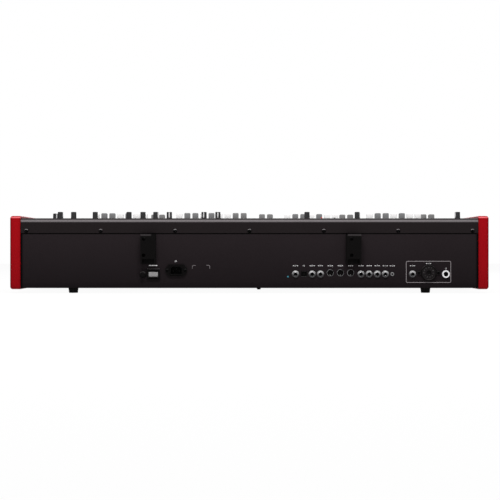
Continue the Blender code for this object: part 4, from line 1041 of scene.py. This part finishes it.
def build_lamps():
    """Small indicator and key on the panel near its rear edge, and a port light behind."""
    lens = [(1.7, -0.6), (1.7, 1.0), (1.4, 1.9), (0.8, 2.4), (0, 2.5)]
    turned_piece("panel_lamp", LED_RED, [(lens, PANEL @ Matrix.Translation(LAMP_PLACE), 28)], 50,
                 slot="case_black")
    box_piece("panel_small_key", BUTTON, [SMALL_KEY], (0.0005, 2), PANEL, slot="button_rubber")
    light = [(0, 0.6), (1.4, 0.6), (1.8, 0.3), (2.0, -2.0), (0, -2.0)]
    turned_piece("port_light", PORT_BLUE, [(light, outward(*PORT_LIGHT), 24)], 40,
                 slot="socket_black")


# Print on the sloped panel and the rear wall

def print_text(name, words, height, place):
    """Flat printed characters, a hair proud of the surface that place lies on."""
    data = bpy.data.curves.new(name, 'FONT')
    data.body = words
    data.size = height / CAPITAL_SHARE
    data.align_x = data.align_y = 'CENTER'
    data.extrude = PRINT_THICK / 2
    data.materials.append(INK)
    return copy_piece(name, data, place, "case", "case_black")


def print_lines(name, bm, paint=INK):
    return ride(mesh_object(name, bm, paint), slot="case_black")


def add_strip(bm, place, low, high):
    """Add a thin printed bar between two corners on the plane of place."""
    verts = add_box(bm, (*low, 0.0), (*high, PRINT_THICK))
    bmesh.ops.transform(bm, matrix=place, verts=verts)


def add_rounded_line(bm, place, centre, half, radius, width):
    """Add a printed rounded rectangle line of the given half sizes."""
    outlines = []
    for r in (radius, radius - width):
        points = []
        for quarter, (sx, sy) in enumerate(((1, 1), (-1, 1), (-1, -1), (1, -1))):
            middle = (centre[0] + sx * (half[0] - radius), centre[1] + sy * (half[1] - radius))
            points += arc(middle, r, 90 * quarter, 90 * quarter + 90, 6)
        outlines.append(points)
    add_hollow(bm, *outlines, (0.0, PRINT_THICK), place)


def add_bent_line(bm, place, points, width):
    """Add a printed line of even width along plane points."""
    rows = []
    points = [Vector(point) for point in points]
    for before, (x, y), after in zip(points[:1] + points, points, points[1:] + points[-1:]):
        run = (after - before).normalized() * width / 2
        rows.append([place @ Vector((x - s * run.y, y + s * run.x, z))
                     for s, z in ((1, 0), (-1, 0), (-1, PRINT_THICK), (1, PRINT_THICK))])
    add_lofted(bm, rows)


def print_drawbar_set(bm, place, set_name, start):
    """Frame, scale marks and numbers of one drawbar set."""
    count = BAR_GROUPS[0 if set_name == "bass" else 1][2]
    slot_rear = BAR_PUSHED - SLOT_MARGIN
    slot_front = BAR_PUSHED + BAR_TRAVEL + SLOT_MARGIN
    middle = (start + (count - 1) * BAR_PITCH / 2, -(slot_rear + slot_front) / 2)
    half = (count * BAR_PITCH / 2 + SET_FRAME_GAP[0],
            (slot_front - slot_rear) / 2 + SET_FRAME_GAP[1])
    add_rounded_line(bm, place, middle, half, 0.002, 0.0005)
    for gap in range(count - 1):
        x = start + (gap + 0.5) * BAR_PITCH
        for notch in range(BAR_NOTCHES + 1):
            y = -(BAR_PUSHED + BAR_TRAVEL * notch / BAR_NOTCHES)
            reach = BAR_MARK_HALF[0 if notch % 4 == 0 else 1]
            add_strip(bm, place, (x - reach, y - HAIRLINE_HALF), (x + reach, y + HAIRLINE_HALF))
    for index in range(count):
        spot = Matrix.Translation((start + index * BAR_PITCH, -slot_rear + BAR_NUMBER_GAP, 0))
        print_text(f"{set_name}_bar_number_{index + 1}", str(index + 1), NUMBER_HEIGHT,
                   place @ spot)


def print_panel():
    """Frames, drawbar and knob scales and plain numbers on the sloped panel."""
    place = PANEL @ Matrix.Translation((0, 0, PRINT_LIFT))
    bm = bmesh.new()
    for set_name, start in SET_STARTS.items():
        print_drawbar_set(bm, place, set_name, start)
    for number, x in enumerate(KNOB_XS, 1):
        for turn in range(-150, 151, 30):
            spin = (place @ Matrix.Translation((x, -KNOB_ROW, 0))
                    @ Matrix.Rotation(math.radians(-turn), 4, 'Z'))
            add_strip(bm, spin, (-HAIRLINE_HALF, KNOB_TICK[0]), (HAIRLINE_HALF, KNOB_TICK[1]))
        print_text(f"knob_number_{number}", str(number), NUMBER_HEIGHT,
                   place @ Matrix.Translation((x, -KNOB_ROW - KNOB_NUMBER_GAP, 0)))
    for places in BUTTON_PLACES.values():
        for x, depth in places:
            add_rounded_line(bm, place, (x, -depth), BUTTON_FRAME_HALF, 0.0012, 0.0003)
    print_lines("panel_print", bm)


def rear_text(name, words, height, x, z):
    place = outward(x, z, REAR + PRINT_LIFT) @ Matrix.Rotation(math.pi, 4, 'Z')
    print_text(name, words, height, place)


def print_rear():
    """Frame, corner marks and plain socket numbers on the rear wall."""
    flat = outward(0, 0, REAR + PRINT_LIFT) @ Matrix.Scale(-1, 4, (0, 1, 0))
    bm = bmesh.new()
    low_x, high_x, low_z, high_z = SPEAKER_FRAME
    add_rounded_line(bm, flat, ((low_x + high_x) / 2, (low_z + high_z) / 2),
                     ((high_x - low_x) / 2, (high_z - low_z) / 2), FRAME_ROUND, FRAME_LINE)
    print_lines("speaker_group_frame", bm, INK_GREY)
    bm = bmesh.new()
    r = LABEL_ROUND
    for x, side in ((LABEL_CORNERS[0], 1), (LABEL_CORNERS[1], -1)):
        turn = arc((x + side * r, LABEL_TOP - r), r, 90 + side * 90, 90, 8)
        add_bent_line(bm, flat, [(x, LABEL_TOP - r - LABEL_ARM), *turn,
                                 (x + side * (r + LABEL_ARM), LABEL_TOP)], LABEL_LINE)
    print_lines("label_corner_marks", bm, INK_GREY)
    heights = {SPEAKER[0]: SPEAKER_PRINT_Z, WHITE_JACK_X: WHITE_JACK_PRINT_Z}
    bm = bmesh.new()
    for number, x in enumerate(SOCKET_XS, 1):
        z = heights.get(x, SOCKET_PRINT_Z)
        rear_text(f"socket_number_{number:02d}", f"{number:02d}", 0.0030, x, z)
        for side in (-1, 1) if x not in (WHITE_JACK_X, PORT_X) else ():
            middle = x + side * (NUMBER_HALF + DASH_LENGTH / 2)
            add_strip(bm, flat, (middle - DASH_LENGTH / 2, z - DASH_HALF),
                      (middle + DASH_LENGTH / 2, z + DASH_HALF))
    print_lines("socket_number_dashes", bm)
    rear_text("inlet_number", "20", 0.0036, *INLET_NUMBER)
    bm = bmesh.new()
    add_strip(bm, flat, *SWITCH_MARK)
    print_lines("switch_mark", bm)


# Screws

def cross_recess(i, radius):
    """Factor for a screw head's radius: a four-armed recess near its middle."""
    if radius > SCREW_HEAD * 0.52:
        return 1.0
    return {0: 1.0, 1: 0.86, 7: 0.86}.get(i % 8, 0.36)


def screw_shape(name, paint, head, rise):
    """Domed screw head with a cross recess, standing on its local origin."""
    bm = bmesh.new()
    dome = [(0, 0.35), (0.42, 0.42), (0.50, 0.98), (0.56, 1), (0.74, 0.86), (0.90, 0.60),
            (0.985, 0.30), (1, 0.12)]
    profile = [(head * across, rise * up) for across, up in dome]
    add_turned(bm, profile + [(head, 0.00005), (0, 0.00005)], Matrix(), 32,
               lambda i, r: cross_recess(i, r * SCREW_HEAD / head))
    return mesh_object(name, bm, paint, 34)


def build_screws():
    """Cover, bracket, inlet and socket screws seen on the rear, and screws underneath."""
    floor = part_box("lower_key_slip")[0][2]
    rows = (
        ("cover_screw", BLACK_SCREW, 0.0044, 0.0024, "case_black", REAR,
         [(x, COVER_SCREW_Z) for x in COVER_SCREW_XS]),
        ("bracket_screw", SOCKET_DARK, 0.0040, 0.0020, "bracket_black", REAR + BRACKET_BACK,
         BRACKET_SCREWS),
        ("inlet_screw", DULL_SCREW, 0.0031, 0.0015, "socket_black", REAR + 0.0025,
         [(INLET[0] + side * INLET_EAR, INLET[1]) for side in (-1, 1)]),
        ("speaker_socket_screw", DULL_SCREW, 0.0031, 0.0015, "socket_black", REAR + 0.0018,
         [(SPEAKER[0] + side * SPEAKER_EAR, SPEAKER[1]) for side in (-1, 1)]),
    )
    for name, paint, head, rise, slot, y, places in rows:
        mesh = take_mesh(screw_shape(name, paint, head, rise))
        for number, (x, z) in enumerate(places, 1):
            copy_piece(f"{name}_{number}", mesh, outward(x, z, y) @ SCREW_TURN, "case", slot)
    mesh = take_mesh(screw_shape("floor_screw", DULL_STEEL, 0.0036, 0.0016))
    places = [(x, y, floor) for y in FLOOR_SCREW_YS for x in FLOOR_SCREW_XS]
    for number, spot in enumerate(places, 1):
        copy_piece(f"floor_screw_{number}", mesh,
                   Matrix.Translation(spot) @ Matrix.Rotation(math.pi, 4, 'X'), "case", "case_black")


# Rear sockets

def hexagon(i, radius):
    """Factor that turns rings beyond a nut's collar into a hexagon."""
    if radius < HEX_FROM:
        return 1.0
    angle = (2 * math.pi * i / HEX_POINTS) % (math.pi / 3) - math.pi / 6
    return math.cos(math.pi / 6) / math.cos(angle)


def fuse_rib(i, radius):
    """Factor for the ribs round the fuse cap's grip."""
    return 0.97 if i % 2 and FUSE_GRIP[0] < radius < FUSE_GRIP[1] else 1.0


def tube(outer, inner, deep, proud, flank=0.4):
    """Profile of a metal tube, from deep inside to proud of the wall, in millimetres."""
    return [(outer, -deep), (outer, proud - flank), (outer - 0.4, proud), (inner + 0.2, proud),
            (inner, proud - 0.3), (inner, -deep), (outer, -deep)]


def socket_part(name, paint, parts):
    turned_piece(name, paint, parts, slot="socket_black")


def build_boards():
    """Socket boards with a body for every socket, in place of the plain ones."""
    front = -PANEL_SHEET - BOARD_CLEAR
    back = front - JACK_BODY_DEPTH
    sheet_y = REAR + back
    for node, (jacks, low_z, high_z, others) in SOCKET_BOARDS.items():
        low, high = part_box(node)
        sheet = ((low[0], sheet_y - BOARD_THICK, low_z), (high[0], sheet_y, high_z))
        box_piece(f"{node}_sheet", BOARD, [sheet], (0.0003, 1), slot="board", replaces=(node,))
        sockets = [(x, JACK_Z, JACK_BODY_HALF) for x in jacks] + others
        bodies = [slab(x, z, (half, half), (back - BOARD_CLEAR, front))
                  for x, z, half in sockets]
        box_piece(f"{node}_bodies", SOCKET, bodies, (0.0005, 2), slot="socket_black",
                  replaces=(node,))


def build_jacks():
    """Bores, barrels, washers and nuts of the large jacks, and the one white ring."""
    barrel = tube(4.6, 3.7, 4, 3.8, 0.8)
    bore = [(0, -15.5), (4.1, -15.5), (4.1, 0.4), (3.7, 0.4), (3.4, -14.0), (0, -14.0)]
    washer = [(4.4, 0.1), (7.8, 0.1), (7.9, 0.4), (7.7, 0.7), (4.4, 0.7), (4.4, 0.1)]
    nut = [(4.4, 0.7), (7.7, 0.7), (7.7, 2.1), (7.0, 2.8), (5.2, 3.0), (4.6, 2.7), (4.4, 0.7)]
    ring = [(4.9, 0.2), (8.3, 0.2), (8.3, 2.4), (7.7, 3.2), (6.0, 3.4), (5.2, 3.0), (4.9, 0.2)]
    white = outward(WHITE_JACK_X, JACK_Z)
    metal, dark = [], [(barrel, white)]
    for x in [x for jacks, _, _, _ in SOCKET_BOARDS.values() for x in jacks]:
        place = outward(x, JACK_Z)
        dark.append((bore, place, 32))
        if x != WHITE_JACK_X:
            metal += [(barrel, place), (washer, place, 48),
                      (nut, place @ NUT_TURN, HEX_POINTS, hexagon)]
    socket_part("jack_nuts", NICKEL, metal)
    socket_part("jack_bores", SOCKET_DARK, dark)
    socket_part("white_jack_ring", WHITE_RING, [(ring, white, 56)])


def build_round_sockets():
    """Three five-pin round sockets and the small jack."""
    insert = [(0, -8), (6.2, -8), (6.2, -3.2), (5.8, DIN_FLOOR / MM), (0, DIN_FLOOR / MM)]
    key = [(0, 0), (1.2, 0), (1.2, 0.9), (1.0, 1.1), (0, 1.1)]
    places = [outward(x, DIN_Z) for x in DIN_XS]
    contacts = []
    for place in places:
        contacts += [(tube(0.9, 0.5, 2, 0.3), place @ Matrix.Translation((x, y, DIN_FLOOR)))
                     for x, y in arc((0, 0), DIN_PIN_RING, 180, 0, 4)]
        contacts.append((key, place @ Matrix.Translation((0, DIN_KEY_Y, DIN_FLOOR)), 20))
    socket_part("round_socket_shells", SHELL, [(tube(7.6, 6.7, 8, 0.8), p) for p in places])
    socket_part("round_socket_inserts", SOCKET, [(insert, p) for p in places])
    socket_part("round_socket_contacts", DULL_STEEL, contacts)
    socket_part("small_jack_ring", SHELL, [(tube(4.2, 2.0, 6, 1.0), outward(MINI_X, JACK_Z))])


def build_speaker_socket():
    """Rims, well and contacts of the many-pin speaker socket."""
    centre = outward(*SPEAKER)
    rim = [(15.0, 0.4), (17.05, 0.4), (17.05, 3.4), (16.6, 4.1), (15.8, 4.3), (15.2, 3.9),
           (15.0, 0.4)]
    hub = [(4.3, 3.0), (5.5, 3.0), (5.4, 4.0), (4.6, 4.2), (4.3, 4.0), (4.3, 3.0)]
    well = [(0, 2.4), (4.2, 3.0), (4.3, 3.6), (3.8, 3.6), (3.6, 3.1), (0, 2.8)]
    socket_part("speaker_socket_rims", SOCKET, [(rim, centre, 72), (hub, centre, 48)])
    socket_part("speaker_socket_well", SOCKET_DARK, [(well, centre)])
    ring = arc((0, 0), SPEAKER_PIN_RING, 105, 465, SPEAKER_PINS)[:-1]
    socket_part("speaker_socket_contacts", DULL_STEEL,
                [(tube(1.2, 0.6, 1, 0.4), centre @ Matrix.Translation((x, y, SPEAKER_PIN_FOOT)))
                 for x, y in ring])


def port_outline(inset, chamfer):
    """Outline of the computer port, whose upper corners are cut off; local Y points down."""
    w, h = PORT_HALF[0] - inset, PORT_HALF[1] - inset
    return [(-w, h), (w, h), (w, chamfer - h), (w - chamfer, -h), (chamfer - w, -h),
            (-w, chamfer - h)]


def build_port():
    """Shell and tongue of the computer port."""
    bm = bmesh.new()
    add_hollow(bm, port_outline(0, PORT_CHAMFER), port_outline(PORT_WALL, PORT_CHAMFER - 0.0002),
               PORT_DEPTHS, outward(PORT_X, JACK_Z))
    ride(round_edges(mesh_object("port_shell", bm, PORT_STEEL), 0.0002), slot="socket_black")
    tongue = slab(PORT_X, JACK_Z - 0.0001, PORT_TONGUE, (PORT_DEPTHS[0], -0.0012))
    back = slab(PORT_X, JACK_Z, [half - 0.0004 for half in PORT_HALF], (-0.0120, -0.0096))
    box_piece("port_tongue", SOCKET, [tongue, back], (0.0003, 2), slot="socket_black")


def build_fuse():
    """Ribbed fuse cap with a slot, and the barrel behind it."""
    place = outward(*FUSE)
    cap = [(0, 7.8), (4.5, 7.8), (5.6, 7.4), (5.9, 6.8), (5.9, 3.0), (6.6, 2.6), (7.2, 1.6),
           (7.2, 0.4), (0, 0.4)]
    barrel = [(0, -25), (5.0, -25), (5.0, 0.6), (0, 0.6)]
    for name, part in ("fuse_cap", (cap, place, 48, fuse_rib)), ("fuse_barrel", (barrel, place, 32)):
        turned_piece(name, SOCKET, [part], slot="socket_black", replaces=("fuse_holder",))
    bm = bmesh.new()
    verts = add_box(bm, (-0.0042, -0.0006, 0), (0.0042, 0.0006, 0.00048))
    bmesh.ops.transform(bm, matrix=outward(*FUSE, REAR + 0.0074) @ FUSE_SLOT_TURN, verts=verts)
    ride(mesh_object("fuse_slot", bm, SOCKET_DARK), slot="socket_black")


def build_power_parts():
    """Inlet pins, the light-grey face that rides with the rocker as a painted reflection, and the
    bezel's raised lip with a painted highlight.
    """
    pins = [slab(INLET[0] + x, INLET[1] + z, INLET_PIN_HALF, INLET_PIN_DEPTHS)
            for x, z in INLET_PINS]
    box_piece("inlet_pins", SHELL, pins, (0.0004, 2), slot="socket_black")
    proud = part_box("power_switch_rocker")[1][1] - REAR
    face = slab(*SWITCH, SWITCH_FACE_HALF, (proud - SWITCH_FACE_THICK, proud))
    box_piece("switch_face", SWITCH_REFLECTION, [face], (0.0008, 3), body="power_switch_rocker",
              slot="socket_black")
    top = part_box("power_switch_housing")[1]
    lip = ((SWITCH[0] - BEZEL_HALF, top[1] - 0.0014, top[2] - 0.0010),
           (SWITCH[0] + BEZEL_HALF, top[1] + 0.0003, top[2] - 0.0001))
    box_piece("switch_bezel_lip", BEZEL_HIGHLIGHT, [lip], (0.0003, 2), slot="socket_black")


# Trim and feet

def build_trim():
    """Dark pads at the foot of the stand pockets and a dark strip in the rear flange's seam, both
    painted shadow.
    """
    for side in ("left", "right"):
        low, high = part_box(f"{side}_stand_bracket")
        middle = (low[0] + high[0]) / 2
        back = REAR + BRACKET_BACK
        shade_pad = ((middle - POCKET_SHADE_HALF, back, low[2] + 0.0004),
                (middle + POCKET_SHADE_HALF, back + TRIM_THICK, low[2] + POCKET_SHADE_HEIGHT))
        box_piece(f"{side}_pocket_shade", SOCKET_DARK, [shade_pad], (0.0001, 1), slot="bracket_black")
    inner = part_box("base_chassis")[1][0]
    deep = REAR - SEAM_DEPTH
    strip = ((-inner, deep, SEAM_LOW), (inner, deep + TRIM_THICK, SEAM_HIGH))
    box_piece("seam_strip", SOCKET_DARK, [strip], (0.0001, 1), slot="case_black")


def build_feet():
    """Turned rubber feet with a screw in the hollow below, and the middle stud's sleeve."""
    screw = [(0, 1.4), (1.6, 1.4), (1.9, 1.0), (2.9, 1.1), (3.4, 1.8), (3.4, 3.6), (4.9, 3.7),
             (4.9, 4.4), (0, 4.4)]
    for node in FEET:
        low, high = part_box(node)
        place = Matrix.Translation(((low[0] + high[0]) / 2, (low[1] + high[1]) / 2, 0))
        top = high[2] / MM
        r = (high[0] - low[0]) / 2 / MM
        foot = [(0, 4.2), (5.2, 4.2), (5.6, 1.0), (6.2, 0.3), (6.6, 0.02), (r - 2.4, 0.02),
                (r - 1.7, 0.4), (r - 1.3, 1.2), (r - 0.9, 4.4), (r - 1.3, 4.8), (r - 0.9, 5.2),
                (r - 0.1, top - 1.0), (r - 0.5, top), (0, top)]
        turned_piece(f"{node}_rubber", RUBBER, [(foot, place, 64)], 38, slot="foot_rubber",
                     replaces=(node,))
        turned_piece(f"{node}_screw", DULL_STEEL, [(screw, place, 32)], 38, slot="inner_metal")
    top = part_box(FEET[0])[1][2] / MM
    sleeve = [(0, 2.6), (3.8, 2.6), (4.4, 3.2), (4.6, 4.0), (4.6, top - 0.6), (5.0, top), (0, top)]
    turned_piece("centre_stud_sleeve", RUBBER,
                 [(sleeve, Matrix.Translation((STUD_X, REAR - STUD_INSET, 0)))], 38,
                 slot="foot_rubber")


# Camera, light and background

def place_camera():
    lens = bpy.data.cameras.new("camera")
    lens.angle = math.radians(CAMERA_ANGLE)
    lens.clip_start = 0.05
    camera = link(bpy.data.objects.new("camera", lens))
    camera.location = (CAMERA_X, REAR + CAMERA_DISTANCE, CAMERA_HEIGHT)
    camera.rotation_euler = (math.radians(90), 0, math.pi)
    bpy.context.scene.camera = camera


def shown_rays(tree):
    """Return a factor that is 1 for camera, glossy and transmission rays."""
    path = add_node(tree, "ShaderNodeLightPath")
    factor = path["Is Camera Ray"]
    for ray in ("Is Glossy Ray", "Is Transmission Ray"):
        factor = add_node(tree, "ShaderNodeMath", {0: factor, 1: path[ray]},
                          operation='MAXIMUM')["Value"]
    return factor


def light_scene():
    """Two key lamps above and behind, a top and a front fill, and an even white surround."""
    for name, place, aim, size, power in LAMPS:
        data = bpy.data.lights.new(name, 'AREA')
        data.shape = 'RECTANGLE'
        data.size, data.size_y = size
        data.energy = power
        lamp = link(bpy.data.objects.new(name, data))
        lamp.location = place
        lamp.rotation_euler = (Vector(aim) - Vector(place)).to_track_quat('-Z', 'Y').to_euler()
    world = bpy.data.worlds.new("surround")
    bpy.context.scene.world = world
    world.use_nodes = True
    tree = world.node_tree
    tree.nodes.clear()
    inputs = {"Fac": shown_rays(tree)}
    for number, strength in enumerate((AMBIENT, 1.0), 1):
        inputs[number] = add_node(tree, "ShaderNodeBackground", {
            "Color": (1, 1, 1, 1), "Strength": strength})["Background"]
    mixed = add_node(tree, "ShaderNodeMixShader", inputs)["Shader"]
    add_node(tree, "ShaderNodeOutputWorld", {"Surface": mixed})


def floor_paint():
    """White studio floor: bright to the camera, and shaded where the organ stands on it."""
    made = Surface("studio_floor", (236, 236, 236), 0.9).mottle(2, (230, 230, 230), 0.4)
    glow = made.add("ShaderNodeEmission", {"Strength": 1.0})["Emission"]
    mixed = made.add("ShaderNodeMixShader", {
        "Fac": made.times(shown_rays(made.tree), FLOOR_GLOW),
        1: made.shader.outputs["BSDF"], 2: glow})["Shader"]
    feed(made.tree, made.tree.nodes["Material Output"].inputs["Surface"], mixed)
    return made.mat


def lay_floor():
    """Pale seamless floor that keeps the shadow under the feet."""
    bm = bmesh.new()
    bm.faces.new([bm.verts.new((x * FLOOR_HALF, y * FLOOR_HALF, -FLOOR_DROP))
                  for x, y in ((-1, -1), (1, -1), (1, 1), (-1, 1))])
    floor = mesh_object("floor", bm, floor_paint())


paint_nodes()
build_cheeks()
key_meshes = {}
for manual in ("lower", "upper"):
    build_manual(manual, key_meshes)
for build in (build_drawbars, build_knobs, build_buttons, print_panel, print_rear, build_screws,
              build_boards, build_jacks, build_round_sockets, build_speaker_socket, build_port,
              build_fuse, build_power_parts, build_trim, build_feet, build_lamps, lay_floor,
              place_camera, light_scene):
    build()
bpy.context.scene.view_settings.view_transform = 'Standard'
